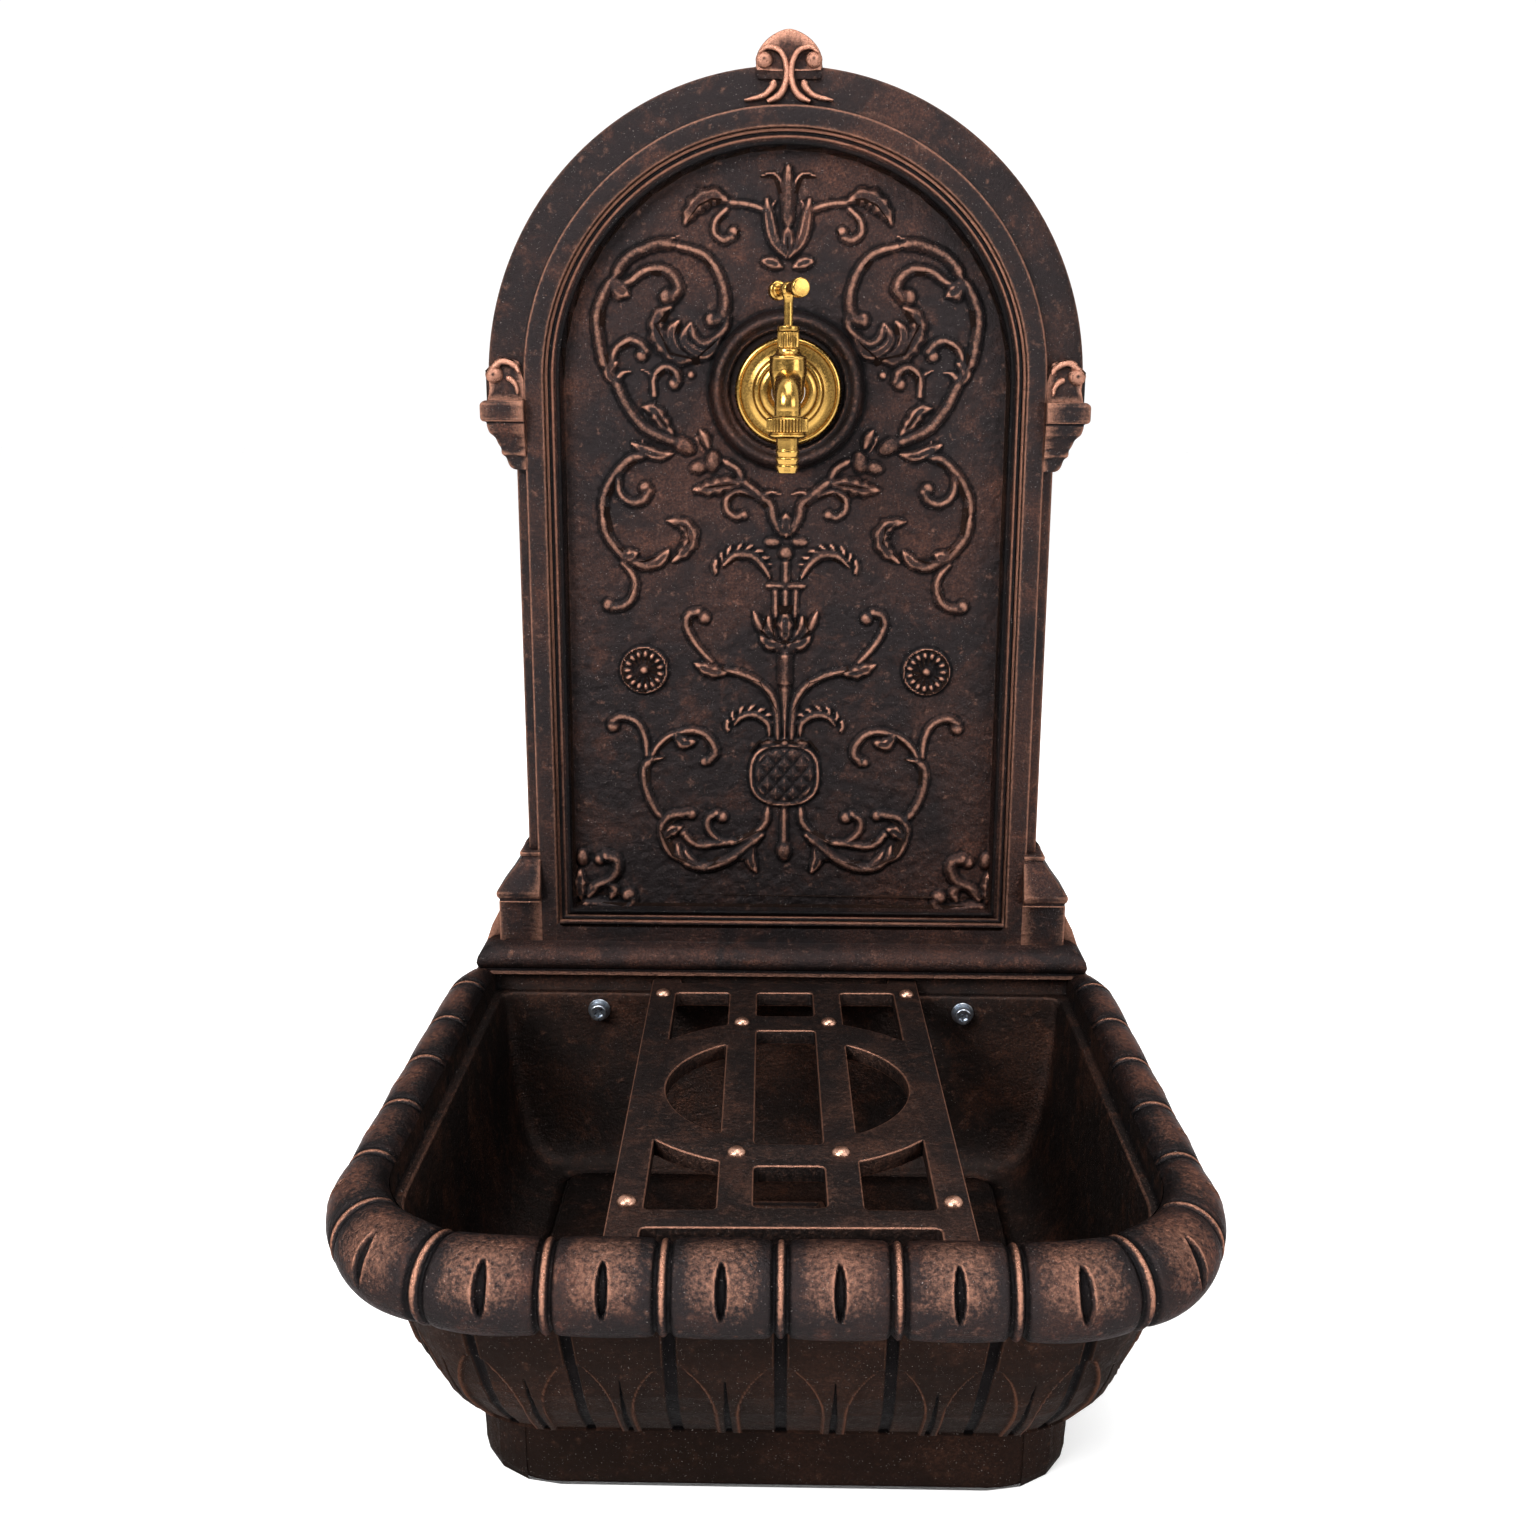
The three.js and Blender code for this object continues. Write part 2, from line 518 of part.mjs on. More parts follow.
// A low pyramid with few sides, its base at height ground above the field
const stud = ([x, z], radius, ground, height, sides) => {
  const geometry = new THREE.ConeGeometry(radius, height + 1, sides);
  geometry.rotateX(-Math.PI / 2);
  geometry.translate(x, -ground - height / 2 + 0.5, z);
  return solidOf(geometry);
};

const rosette = () => {
  const sides = 2 * ROSETTE_PETALS;
  const ring = (radius, rise, groove) => Array.from({ length: sides }, (_, k) => {
    const angle = (2 * Math.PI * k) / sides;
    return [radius * Math.cos(angle), -rise + (k % 2 ? groove : 0), radius * Math.sin(angle)];
  });
  return loft([ring(ROSETTE_RADIUS, -1, 0), ring(ROSETTE_RADIUS - 1, 3.4, 0),
    ring(ROSETTE_RADIUS - 4, 3.2, 1.8), ring(4, 4.4, 0)], [0, 2]);
};

const boss = () => turned([[0, -1], [BOSS_RADIUS, -1], [BOSS_RADIUS, 3], [BOSS_RADIUS - 1.5, 8],
  [BOSS_RADIUS - 4, BOSS_HEIGHT], [BOSS_RADIUS - 7, 7],
  [BOSS_FLOOR_RADIUS, 4.5], [BOSS_FLOOR_RADIUS, BOSS_FLOOR_RISE], [0, BOSS_FLOOR_RISE]], 20,
  [ORNAMENT_X, 0, BOSS_Z], 'out');

const relief = () => {
  const sprays = LEFT_SPRAYS.map(([width, through]) =>
    rib(through, width * 1.15, width * 0.62, Math.max(3, through.length - 1)));
  const buds = LEFT_BUDS.map(([place, radius, stretch = 1, turn = 0]) =>
    ball(place, radius, radius, 0, stretch, turn));
  const left = unite([...sprays, ...buds]);
  const centre = CENTRE_STROKES.map(([width, top, bottom]) =>
    rib([[ORNAMENT_X, top], [ORNAMENT_X, bottom]], width, Math.min(width * 0.6, 5), 3));
  const drops = CENTRE_DROPS.map(([z, radius]) => ball([ORNAMENT_X, z], radius));
  const rose = rosette();
  return unite([left, mirroredAbout(left, ORNAMENT_X), ...centre, ...drops, lotus(), vase(), boss(),
    rose.translate([ORNAMENT_X - ROSETTE_X, 0, ROSETTE_Z]),
    rose.translate([ORNAMENT_X + ROSETTE_X, 0, ROSETTE_Z])]);
};

const screwPlaces = [['left', -SCREW_X], ['right', SCREW_X]];
const screwZ = RIM_TOP - SCREW_DROP;
const tongueFront = BASIN_BACK + BASIN_WALL + FIT_GAP;

const backPlate = () => {
  const [shell, hollow] = plateShell();
  const [base, baseHollow] = plinth();
  const side = impost();
  const tongue = box([-TONGUE_HALF_WIDTH, tongueFront, PLATE_BOTTOM - TONGUE_DEPTH],
    [TONGUE_HALF_WIDTH, tongueFront + TONGUE_WALL, PLATE_BOTTOM + 1]);
  let plate = unite([shell, base, side, mirrored(side), finial()]);
  plate = plate.subtract(hollow).subtract(baseHollow);
  plate = unite([plate, tongue, relief()]);
  const sleeve = INLET_RADIUS + INLET_CLEARANCE;
  plate = plate.subtract(disc(sleeve, -30, 30, 16, [TAP_X, 0, TAP_Z], 'out'));
  for (const [, x] of screwPlaces) {
    plate = plate.subtract(disc(SCREW_RADIUS + SCREW_CLEARANCE, -20, 20, 8, [x, 0, screwZ], 'out'));
  }
  return plate;
};

// Basin

// A plan ring: straight back, straight sides and front, rounded front corners, at one height
const planRing = (half, front, back, radius, z, cornerSteps = 4) => {
  const ring = [[half, back, z]];
  for (let i = 0; i <= cornerSteps; i += 1) {
    const angle = (Math.PI / 2) * (i / cornerSteps);
    ring.push([half - radius * (1 - Math.cos(angle)), front + radius * (1 - Math.sin(angle)), z]);
  }
  return [...ring, ...[...ring].reverse().map(([x, y, h]) => [-x, y, h])];
};

// The bowl's outside as [drop below the rim, half-width, front, corner radius]
const BOWL_PROFILE = [[2, 185, -345, 72], [42, 183, -344, 74], [84, 177.5, -331, 73],
  [112, 170.5, -310, 67], [127, 164, -295, 60], [135.5, 157, -284, 52]];

const bowlOutside = () => {
  const rings = BOWL_PROFILE.map(([drop, half, front, radius]) =>
    planRing(half, front, FIELD_TO_WALL, radius, RIM_TOP - drop));
  const neck = GROUND + FOOT_HEIGHT;
  const foot = (grow, z) =>
    planRing(FOOT_HALF_WIDTH + grow, FOOT_FRONT - grow, FIELD_TO_WALL, FOOT_CORNER_RADIUS + grow, z);
  return loft([...rings, foot(0.5, neck - 1.5), foot(0, GROUND + 8), foot(-1.5, GROUND)], [0, 1]);
};

// Lines round the basin run from the left wall end to the right one; s is counted along the roll's middle
const rollRun = RIM_CORNER_RADIUS + ROLL_CENTRE_OUT;
const sideRun = RIM_FRONT_REACH - RIM_CORNER_RADIUS + FIELD_TO_WALL;
const cornerRun = (Math.PI / 2) * rollRun;
const frontRun = 2 * (RIM_HALF_WIDTH - RIM_CORNER_RADIUS);
const wholeRun = 2 * (sideRun + cornerRun) + frontRun;

// The point at s on an outline with its own half-width, front and corner radius
const outlineAt = (s, half, front, radius) => {
  const [u, flip] = s > wholeRun / 2 ? [wholeRun - s, 1] : [s, -1];
  const turn = THREE.MathUtils.clamp((u - sideRun) / rollRun, 0, Math.PI / 2);
  const [c, d] = [Math.cos(turn), Math.sin(turn)];
  const along = Math.max(u - sideRun - cornerRun, 0);
  const x = along > 0 ? RIM_HALF_WIDTH - RIM_CORNER_RADIUS - along : half - radius * (1 - c);
  const y = u < sideRun ? FIELD_TO_WALL - u : front + radius * (1 - d);
  return { x: flip * x, y, out: [flip * c, -d], turn };
};

const rimAt = (s) => outlineAt(s, RIM_HALF_WIDTH, -RIM_FRONT_REACH, RIM_CORNER_RADIUS);

// Places of the cross beads along the rim, from the left wall end to the right one
const beadPlaces = () => {
  const middle = sideRun + cornerRun + frontRun / 2 + BEAD_PATTERN_X;
  const half = [0, 1, 2, 3, 4].map((i) => i * BEAD_PITCH);
  for (let s = 4 * BEAD_PITCH + SIDE_BEAD_PITCH; s < middle - 20; s += SIDE_BEAD_PITCH) half.push(s);
  return [...half.slice(1).reverse().map((s) => middle - s), ...half.map((s) => middle + s)];
};

const rollSection = ({ x, y, out, turn }, swell) => {
  const ease = THREE.MathUtils.smoothstep(turn, -0.2, 1);
  const atWall = 1 - 0.45 * THREE.MathUtils.smoothstep(y, -ROLL_END_RUN, -6);
  const size = (ROLL_SIDE_SHARE + (1 - ROLL_SIDE_SHARE) * ease) * atWall;
  const ring = [];
  for (let i = 0; i < 6; i += 1) {
    const angle = THREE.MathUtils.degToRad(144 - (i * 292) / 5);
    const d = size * (ROLL_CENTRE_OUT + (ROLL_RADIUS + swell) * Math.cos(angle));
    const h = size * (-ROLL_CENTRE_DROP + (ROLL_RADIUS + swell) * Math.sin(angle));
    ring.push([x + out[0] * Math.max(d, 0), y + out[1] * Math.max(d, 0), RIM_TOP + h]);
  }
  return ring;
};

const roll = () => {
  const beads = beadPlaces().filter((s) => s > BEAD_HALF_WIDTH && s < wholeRun - BEAD_HALF_WIDTH);
  const stations = [[0, 0]];
  for (const [i, s] of beads.entries()) {
    stations.push([s - BEAD_HALF_WIDTH, -1], [s, 0.6], [s + BEAD_HALF_WIDTH, -1]);
    if (i + 1 < beads.length) {
      const pitch = beads[i + 1] - s;
      stations.push([s + pitch / 2, GADROON_SWELL]);
    }
  }
  stations.push([wholeRun, 0]);
  return loft(stations.map(([s, swell]) => rollSection(rimAt(s), swell)), [0, 2]);
};

const bowlFloor = RIM_TOP - BOWL_DEPTH;

const bowlInside = () => {
  const ledge = RIM_TOP - LEDGE_DROP;
  const lip = (inset, z) => planRing(RIM_HALF_WIDTH - inset, -RIM_FRONT_REACH + inset, BASIN_BACK - inset,
    RIM_CORNER_RADIUS - inset, z);
  const wall = ([drop, half, front, radius], lean) => planRing(half - BOWL_WALL, front + BOWL_WALL,
    BASIN_BACK - LEDGE_WIDTH - lean, radius - BOWL_WALL, RIM_TOP - drop);
  const [, upper, middle, lower, , bottom] = BOWL_PROFILE;
  return loft([
    lip(0, RIM_TOP + 20), lip(0, RIM_TOP - 1), lip(LIP_LEAN, ledge), lip(LEDGE_WIDTH, ledge - 0.5),
    wall(upper, 0), wall(middle, 5), wall(lower, 9),
    wall([BOWL_DEPTH, ...bottom.slice(1)], 15),
  ], [0, 1]);
};

// A square groove down the bowl's outside
const flute = (place) => loft(BOWL_PROFILE.slice(1).map(([drop, half, front, radius]) => {
  const { x, y, out: [ox, oy] } = outlineAt(place, half, front, radius);
  const wide = SLOT_WIDTH / 2;
  return [[6, -wide], [6, wide], [-SLOT_DEPTH, wide], [-SLOT_DEPTH, -wide]]
    .map(([d, w]) => [x + d * ox - w * oy, y + d * oy + w * ox, RIM_TOP - drop]);
}), [0, 1]);

const basin = () => {
  const back = FIELD_TO_WALL;
  let shell = unite([bowlOutside(), roll()]);
  const mouldFront = -BAND_HEIGHT - BASE_MOULD_REACH - FIT_GAP;
  shell = shell.subtract(box([-2 * RIM_HALF_WIDTH, mouldFront, RIM_TOP], [2 * RIM_HALF_WIDTH, back + 9,
    RIM_TOP + 2 * ROLL_RADIUS]));
  shell = shell.subtract(bowlInside());
  const pocketFront = BASIN_BACK + BASIN_WALL;
  const pocketTop = RIM_TOP + 5;
  const pocket = loft([[168, pocketTop, pocketFront], [166, RIM_TOP - 52, pocketFront],
    [152, RIM_TOP - 116, pocketFront - 11]].map(([half, z, front]) =>
    [[half, back + 5, z], [half, front, z], [-half, front, z], [-half, back + 5, z]]), [0, 1]);
  const under = (grow, z) => planRing(FOOT_HALF_WIDTH - BASIN_WALL + grow, FOOT_FRONT + BASIN_WALL - grow,
    back - BASIN_WALL, FOOT_CORNER_RADIUS - BASIN_WALL, z);
  const footHollow = loft([under(0, GROUND - 5), under(0, bowlFloor - BASIN_WALL - 4),
    under(-6, bowlFloor - BASIN_WALL)], [0, 1]);
  shell = shell.subtract(pocket).subtract(footHollow);
  const collar = disc(DRAIN_COLLAR_RADIUS, bowlFloor - 2, bowlFloor + DRAIN_COLLAR_HEIGHT, 24,
    [0, DRAIN_Y, 0]);
  const seat = disc(DRAIN_COLLAR_RADIUS - 4, bowlFloor, bowlFloor + 9, 20, [0, DRAIN_Y, 0]);
  const hole = disc(DRAIN_RADIUS, bowlFloor - 30, bowlFloor + 9, 16, [0, DRAIN_Y, 0]);
  shell = shell.add(collar.subtract(seat)).subtract(hole);
  for (const place of beadPlaces().filter((s) => s > 18 && s < wholeRun - 18)) {
    shell = shell.subtract(flute(place));
  }
  for (const [, x] of screwPlaces) {
    shell = shell.subtract(disc(SCREW_RADIUS + SCREW_CLEARANCE, -10, 30, 8, [x, 0, screwZ], 'out'));
  }
  return shell;
};

// Screws: their washers lie on the upright top part of the bowl's back wall
const seatY = BASIN_BACK - LEDGE_WIDTH - FIT_GAP;

const screw = (x) => {
  const head = seatY - WASHER_THICKNESS - FIT_GAP;
  const shank = turned([[0, -head - SCREW_LENGTH], [SCREW_RADIUS, -head - SCREW_LENGTH],
    [SCREW_RADIUS, -head], [SCREW_HEAD_RADIUS, -head], [SCREW_HEAD_RADIUS, -head + SCREW_HEAD_HEIGHT - 0.6],
    [SCREW_HEAD_RADIUS - 0.6, -head + SCREW_HEAD_HEIGHT], [0, -head + SCREW_HEAD_HEIGHT]], 8,
  [x, 0, screwZ], 'out');
  const socket = disc(SCREW_SOCKET_RADIUS, -head + SCREW_HEAD_HEIGHT - SCREW_SOCKET_DEPTH,
    -head + SCREW_HEAD_HEIGHT + 1, 6, [x, 0, screwZ], 'out');
  return shank.subtract(socket);
};

const washer = (x) => {
  const hole = SCREW_RADIUS + SCREW_CLEARANCE;
  const [near, far] = [-seatY, -seatY + WASHER_THICKNESS];
  return turned([[hole, near], [WASHER_RADIUS, near], [WASHER_RADIUS, far], [hole, far], [hole, near]], 10,
    [x, 0, screwZ], 'out');
};

// Grate: a flat frame pierced by windows round a ring, with a notch behind and before
const grate = () => {
  const turnReach = GRATE_HALF_WIDTH * Math.sin(THREE.MathUtils.degToRad(GRATE_TURN_DEG));
  const endGap = LIP_LEAN + FIT_GAP + turnReach;
  const back = BASIN_BACK - endGap;
  const length = RIM_FRONT_REACH - endGap + back;
  const half = GRATE_HALF_WIDTH;
  const side = half - GRATE_BAR;
  const [from, centre] = [GRATE_SIDE_WINDOW_FROM, GRATE_CENTRE_WINDOW];
  const middle = length * 0.49;
  const bottom = RIM_TOP - LEDGE_DROP + FIT_GAP;
  const bar = GRATE_BAR;
  const panel = (outline) => {
    const shape = new THREE.Shape(outline.map(([u, v]) => new THREE.Vector2(u, -v)));
    const geometry = new THREE.ExtrudeGeometry(shape, { depth: GRATE_THICKNESS + 2, bevelEnabled: false });
    return solidOf(geometry).translate([0, 0, -1]);
  };
  const rect = (u0, v0, u1, v1) => panel([[u0, v0], [u1, v0], [u1, v1], [u0, v1]]);
  const ringAt = (radius, u) => Math.sqrt(radius * radius - u * u);
  const arc = (radius, u0, u1, up) => [0, 1, 2, 3, 4].map((i) => {
    const u = u0 + ((u1 - u0) * i) / 4;
    return [u, middle + up * ringAt(radius, u)];
  });
  const frontBar = length - FRONT_NOTCH;
  const windows = [
    rect(-side + 2, -2, side - 2, END_NOTCH), rect(-side, frontBar, side, length + 2),
    rect(-centre, TOP_WINDOW_FROM, centre, TOP_WINDOW_TO),
    rect(-centre, LONG_WINDOW_FROM, centre, LONG_WINDOW_TO),
    rect(-centre, LOW_WINDOW_FROM, centre, frontBar - bar - 2),
  ];
  const d = ringAt(GRATE_RING_INNER, from);
  const dOutline = [[from, middle + d]];
  for (let i = 1; i < 8; i += 1) {
    const angle = Math.asin(d / GRATE_RING_INNER) * (1 - i / 4);
    dOutline.push([GRATE_RING_INNER * Math.cos(angle), middle + GRATE_RING_INNER * Math.sin(angle)]);
  }
  dOutline.push([from, middle - d]);
  const high = [[from, TOP_WINDOW_FROM], [side, TOP_WINDOW_FROM], ...arc(GRATE_RING_OUTER, side, from, -1)];
  const low = [...arc(GRATE_RING_OUTER, side, from, 1).reverse(), [side, frontBar - bar],
    [from, frontBar - bar]];
  const right = unite([panel(dOutline), panel(high), panel(low)]);
  let frame = box([-half, -length, 0], [half, 0, GRATE_THICKNESS]);
  frame = frame.subtract(unite(windows)).subtract(right).subtract(mirrored(right));
  const dome = [[0, -1], [STUD_RADIUS, -1], [STUD_RADIUS, 0.6], [STUD_RADIUS * 0.7, 2.6], [0, 3.4]];
  const places = [[side + bar / 2, TOP_WINDOW_FROM + 3], ...STUD_ROWS.map((v) => [STUD_U, v]),
    [side + bar / 2, frontBar - bar - 6]];
  const studs = places.flatMap(([u, v]) => [u, -u].map((x) => turned(dome, 6, [x, -v, GRATE_THICKNESS])));
  const flat = unite([frame, ...studs]).translate([0, length / 2, 0]);
  return flat.rotate([0, 0, GRATE_TURN_DEG]).translate([GRATE_X, back - length / 2, bottom]);
};

// Tap

// The flange's outline from its rim to its neck, as shares of its radius and depth
const FLANGE_STEPS = [[1, 0.2], [0.94, 0.33], [0.89, 0.27], [0.65, 0.33], [0.63, 0.47], [0.555, 0.51],
  [0.52, 0.47], [0.395, 0.67]];

const flange = () => {
  const [bore, back] = [INLET_RADIUS + FIT_GAP, BOSS_FLOOR_RISE + FIT_GAP];
  const steps = FLANGE_STEPS.map(([r, h]) => [r * FLANGE_RADIUS, back + h * FLANGE_DEPTH]);
  const profile = [[bore, back], [FLANGE_RADIUS, back], ...steps, [bore, back + FLANGE_DEPTH],
    [bore, back]];
  return turned(profile, 14, [TAP_X, 0, TAP_Z], 'out');
};

const spoutPath = () => {
  const path = new THREE.CurvePath();
  const knee = new THREE.Vector3(TAP_X, NOSE_Y, TAP_Z + 6);
  const start = new THREE.Vector3(TAP_X, BARREL_Y, TAP_Z + 4);
  path.add(new THREE.QuadraticBezierCurve3(start, knee, new THREE.Vector3(TAP_X, NOSE_Y, TAP_Z - 8)));
  return path;
};

const pipeAlong = (curve, radius, sides, steps) => {
  const frames = curve.getSpacedPoints(steps);
  const rings = frames.map((p, i) => {
    const ahead = frames[Math.min(i + 1, steps)].clone().sub(frames[Math.max(i - 1, 0)]).normalize();
    const up = new THREE.Vector3(1, 0, 0).cross(ahead).normalize();
    return Array.from({ length: sides }, (_, k) => {
      const angle = (2 * Math.PI * k) / sides;
      return [p.x + radius * Math.cos(angle), p.y + radius * Math.sin(angle) * up.y,
        p.z + radius * Math.sin(angle) * up.z];
    });
  });
  return loft(rings, [0, 2]);
};

const tapBody = () => {
  const axis = [TAP_X, BARREL_Y, 0];
  const barrel = turned([[0, BARREL_BOTTOM], [6, BARREL_BOTTOM + 0.5], [8, BARREL_BOTTOM + 4],
    [9.6, BARREL_BOTTOM + 12], [BARREL_RADIUS, 4], [BARREL_RADIUS, BARREL_TOP - 4.5],
    [9.6, BARREL_TOP - 3.8], [6.4, BARREL_TOP - 3.4], [6.4, BARREL_TOP], [0, BARREL_TOP]], 12, axis);
  const inlet = turned([[0, -FIELD_TO_WALL + 3], [INLET_RADIUS, -FIELD_TO_WALL + 3], [INLET_RADIUS, 20],
    [7.6, 23], [7.6, -BARREL_Y], [0, -BARREL_Y]], 10, [TAP_X, 0, TAP_Z], 'out');
  const spout = pipeAlong(spoutPath(), NOSE_RADIUS, 8, 4);
  const nose = disc(NOSE_RADIUS, NOSE_BOTTOM - 4, TAP_Z - 7.9, 8, [TAP_X, NOSE_Y, 0]);
  const inletBore = disc(TAP_BORE, -FIELD_TO_WALL - 4, -BARREL_Y, 6, [TAP_X, 0, TAP_Z], 'out');
  const spoutBore = pipeAlong(spoutPath(), TAP_BORE, 6, 3);
  const noseBore = disc(TAP_BORE, NOSE_BOTTOM - 9, TAP_Z - 7.5, 6, [TAP_X, NOSE_Y, 0]);
  return unite([barrel, inlet, spout, nose]).subtract(unite([inletBore, spoutBore, noseBore]));
};

const spindleBore = SPINDLE_RADIUS + SPINDLE_CLEARANCE;
const bonnetBottom = BARREL_TOP + FIT_GAP;
const glandBottom = bonnetBottom + BONNET_HEIGHT - 4;
const spindleFoot = bonnetBottom + 1;

// The headwork: a knurled sleeve as a star prism with a bore for the spindle
const bonnet = () => {
  const top = glandBottom - FIT_GAP;
  const sides = 24;
  const ring = (z, deep) => Array.from({ length: sides }, (_, k) => {
    const angle = (2 * Math.PI * k) / sides;
    const r = BONNET_RADIUS - (k % 2 ? deep : 0);
    return [TAP_X + r * Math.cos(angle), BARREL_Y + r * Math.sin(angle), z];
  });
  const sleeve = loft([ring(bonnetBottom, 0.35), ring(top, 0.35)], [0, 1]);
  return sleeve.subtract(disc(spindleBore, bonnetBottom - 1, top + 1, 12, [TAP_X, BARREL_Y, 0]));
};

const glandNut = () => turned([[spindleBore, glandBottom], [GLAND_RADIUS - 0.5, glandBottom],
  [GLAND_RADIUS, glandBottom + 0.6], [GLAND_RADIUS, glandBottom + GLAND_HEIGHT - 0.6],
  [GLAND_RADIUS - 0.6, glandBottom + GLAND_HEIGHT], [spindleBore, glandBottom + GLAND_HEIGHT],
  [spindleBore, glandBottom]], 8, [TAP_X, BARREL_Y, 0]);

const handle = () => {
  const barZ = glandBottom + GLAND_HEIGHT + SPINDLE_RISE;
  const spindle = disc(SPINDLE_RADIUS, spindleFoot, barZ, 8, [TAP_X, BARREL_Y, 0]);
  const eye = turned([[0, -4.2], [4.2, -3.4], [4.6, 0], [4.2, 3.4], [0, 4.2]], 8, [TAP_X, BARREL_Y, barZ]);
  const [l, k] = [BAR_HALF_LENGTH, KNOB_LENGTH / 2];
  const half = [[BAR_RADIUS, l - k - 0.5], [KNOB_RADIUS - 1, l - k], [KNOB_RADIUS, l - k + 1],
    [KNOB_RADIUS, l + k - 1], [KNOB_RADIUS - 1, l + k], [0, l + k]];
  const bar = turned([...[...half].reverse().map(([r, h]) => [r, -h]), ...half], 8, [0, 0, 0], 'out')
    .rotate([0, 0, BAR_TURN_DEG]).translate([TAP_X, BARREL_Y, barZ]);
  return unite([spindle, eye, bar]);
};

const unionNut = () => {
  const top = NOSE_BOTTOM - 4 - FIT_GAP;
  const bottom = top - NUT_HEIGHT;
  const bore = TAIL_RADIUS + FIT_GAP;
  const profile = [[bore, top], [NUT_RADIUS - 1, top], [NUT_RADIUS, top - 1], [NUT_RADIUS, top - 8],
    [NUT_RADIUS - 1.3, top - 8.6], [NUT_RADIUS - 0.6, top - 9.4], [NUT_RADIUS - 2.5, bottom],
    [bore, bottom], [bore, top]];
  return turned(profile, 16, [TAP_X, NOSE_Y, 0]);
};

const hoseTail = () => {
  const top = NOSE_BOTTOM - 4 - 2 * FIT_GAP;
  const below = top - NUT_HEIGHT;
  const profile = [[TAIL_BORE, top], [TAIL_RADIUS - 0.4, top], [TAIL_RADIUS - 0.4, below - 6.5]];
  const barbs = 3;
  const pitch = (TAIL_LENGTH - 6.5) / barbs;
  for (let i = 0; i < barbs; i += 1) {
    const z = below - 6.5 - i * pitch;
    profile.push([TAIL_RADIUS, z - 0.4], [TAIL_RADIUS - 0.5, z - pitch + 0.8],
      [TAIL_RADIUS - 1.1, z - pitch + 0.2]);
  }
  profile.push([TAIL_RADIUS - 1.1, below - TAIL_LENGTH], [TAIL_BORE, below - TAIL_LENGTH],
    [TAIL_BORE, top]);
  return turned(profile, 8, [TAP_X, NOSE_Y, 0]);
};

// The fountain, moved from the plate's frame to the part's own
const depth = FIELD_TO_WALL + RIM_FRONT_REACH + ROLL_CENTRE_OUT + ROLL_RADIUS + GADROON_SWELL;
const fountain = new THREE.Group();
fountain.add(meshOf('back_plate', backPlate(), bronze));
fountain.add(meshOf('basin', basin(), bronze));
fountain.add(meshOf('grate', grate(), bronze));
for (const [side, x] of screwPlaces) {
  fountain.add(meshOf(`bolt_${side}`, screw(x), zinc));
  fountain.add(meshOf(`washer_${side}`, washer(x), zinc));
}
fountain.add(meshOf('tap_flange', flange(), brass));
fountain.add(meshOf('tap_body', tapBody(), brass));
fountain.add(meshOf('tap_bonnet', bonnet(), brass));
fountain.add(meshOf('tap_gland_nut', glandNut(), brass));
fountain.add(meshOf('tap_handle', handle(), brass));
fountain.add(meshOf('tap_union_nut', unionNut(), brass));
fountain.add(meshOf('tap_hose_tail', hoseTail(), brass));

const span = new THREE.Box3().setFromObject(fountain);
fountain.position.set(-(span.min.x + span.max.x) / 2, depth / 2 - FIELD_TO_WALL, FOOT_TO_ARCH_CENTRE);

export default fountain;
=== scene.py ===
# The looks of a cast wall fountain: arched plate in relief, gadrooned basin, bucket grate and brass tap.
# Shapes are worked out in millimetres in the plate's frame: x to the right, y into the wall with 0 on the
# plate's field, z up with 0 at the centre of the arch. placed() moves them to the frame, in metres.

import math

import bmesh
import bpy
import numpy as np
from mathutils import Matrix, Vector


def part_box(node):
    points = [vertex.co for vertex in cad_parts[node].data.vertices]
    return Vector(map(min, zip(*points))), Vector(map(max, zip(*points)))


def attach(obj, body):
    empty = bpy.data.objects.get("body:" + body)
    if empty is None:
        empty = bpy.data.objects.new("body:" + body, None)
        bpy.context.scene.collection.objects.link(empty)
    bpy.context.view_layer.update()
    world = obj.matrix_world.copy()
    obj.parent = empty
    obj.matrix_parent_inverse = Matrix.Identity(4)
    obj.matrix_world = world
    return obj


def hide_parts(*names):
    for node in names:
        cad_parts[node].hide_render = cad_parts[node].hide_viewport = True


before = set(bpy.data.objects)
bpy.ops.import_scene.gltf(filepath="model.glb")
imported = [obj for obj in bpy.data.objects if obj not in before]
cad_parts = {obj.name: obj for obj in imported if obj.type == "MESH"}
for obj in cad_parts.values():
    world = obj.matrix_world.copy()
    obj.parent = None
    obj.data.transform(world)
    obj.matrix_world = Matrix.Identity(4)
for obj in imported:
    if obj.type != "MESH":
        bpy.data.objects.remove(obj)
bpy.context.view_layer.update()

# Sizes shared with the solids
ARCH_RADIUS = 175.0
FOOT_TO_ARCH_CENTRE = 540.0
FIELD_TO_WALL = 16.0
FINIAL_RISE = 18.7
RIM_FRONT_REACH = 341.0
SHAFT_HALF_WIDTH = ARCH_RADIUS - 15.5
BORDER_HALF_WIDTH = ARCH_RADIUS - 22.0
FIELD_HALF_WIDTH = BORDER_HALF_WIDTH - 23.0
FIELD_BOTTOM = -321.5
BAND_HEIGHT = 8.0
RIM_TOP = -362.5
ORNAMENT_X = 1.3
IMPOST_TOP = -10.0
BLOCK_TOP = -315.0
BLOCK_BOTTOM = -344.5
BLOCK_HALF_WIDTH = 179.0
BASE_MOULD_REACH = 13.0
RIM_HALF_WIDTH = 181.5
RIM_CORNER_RADIUS = 68.0
ROLL_RADIUS = 19.0
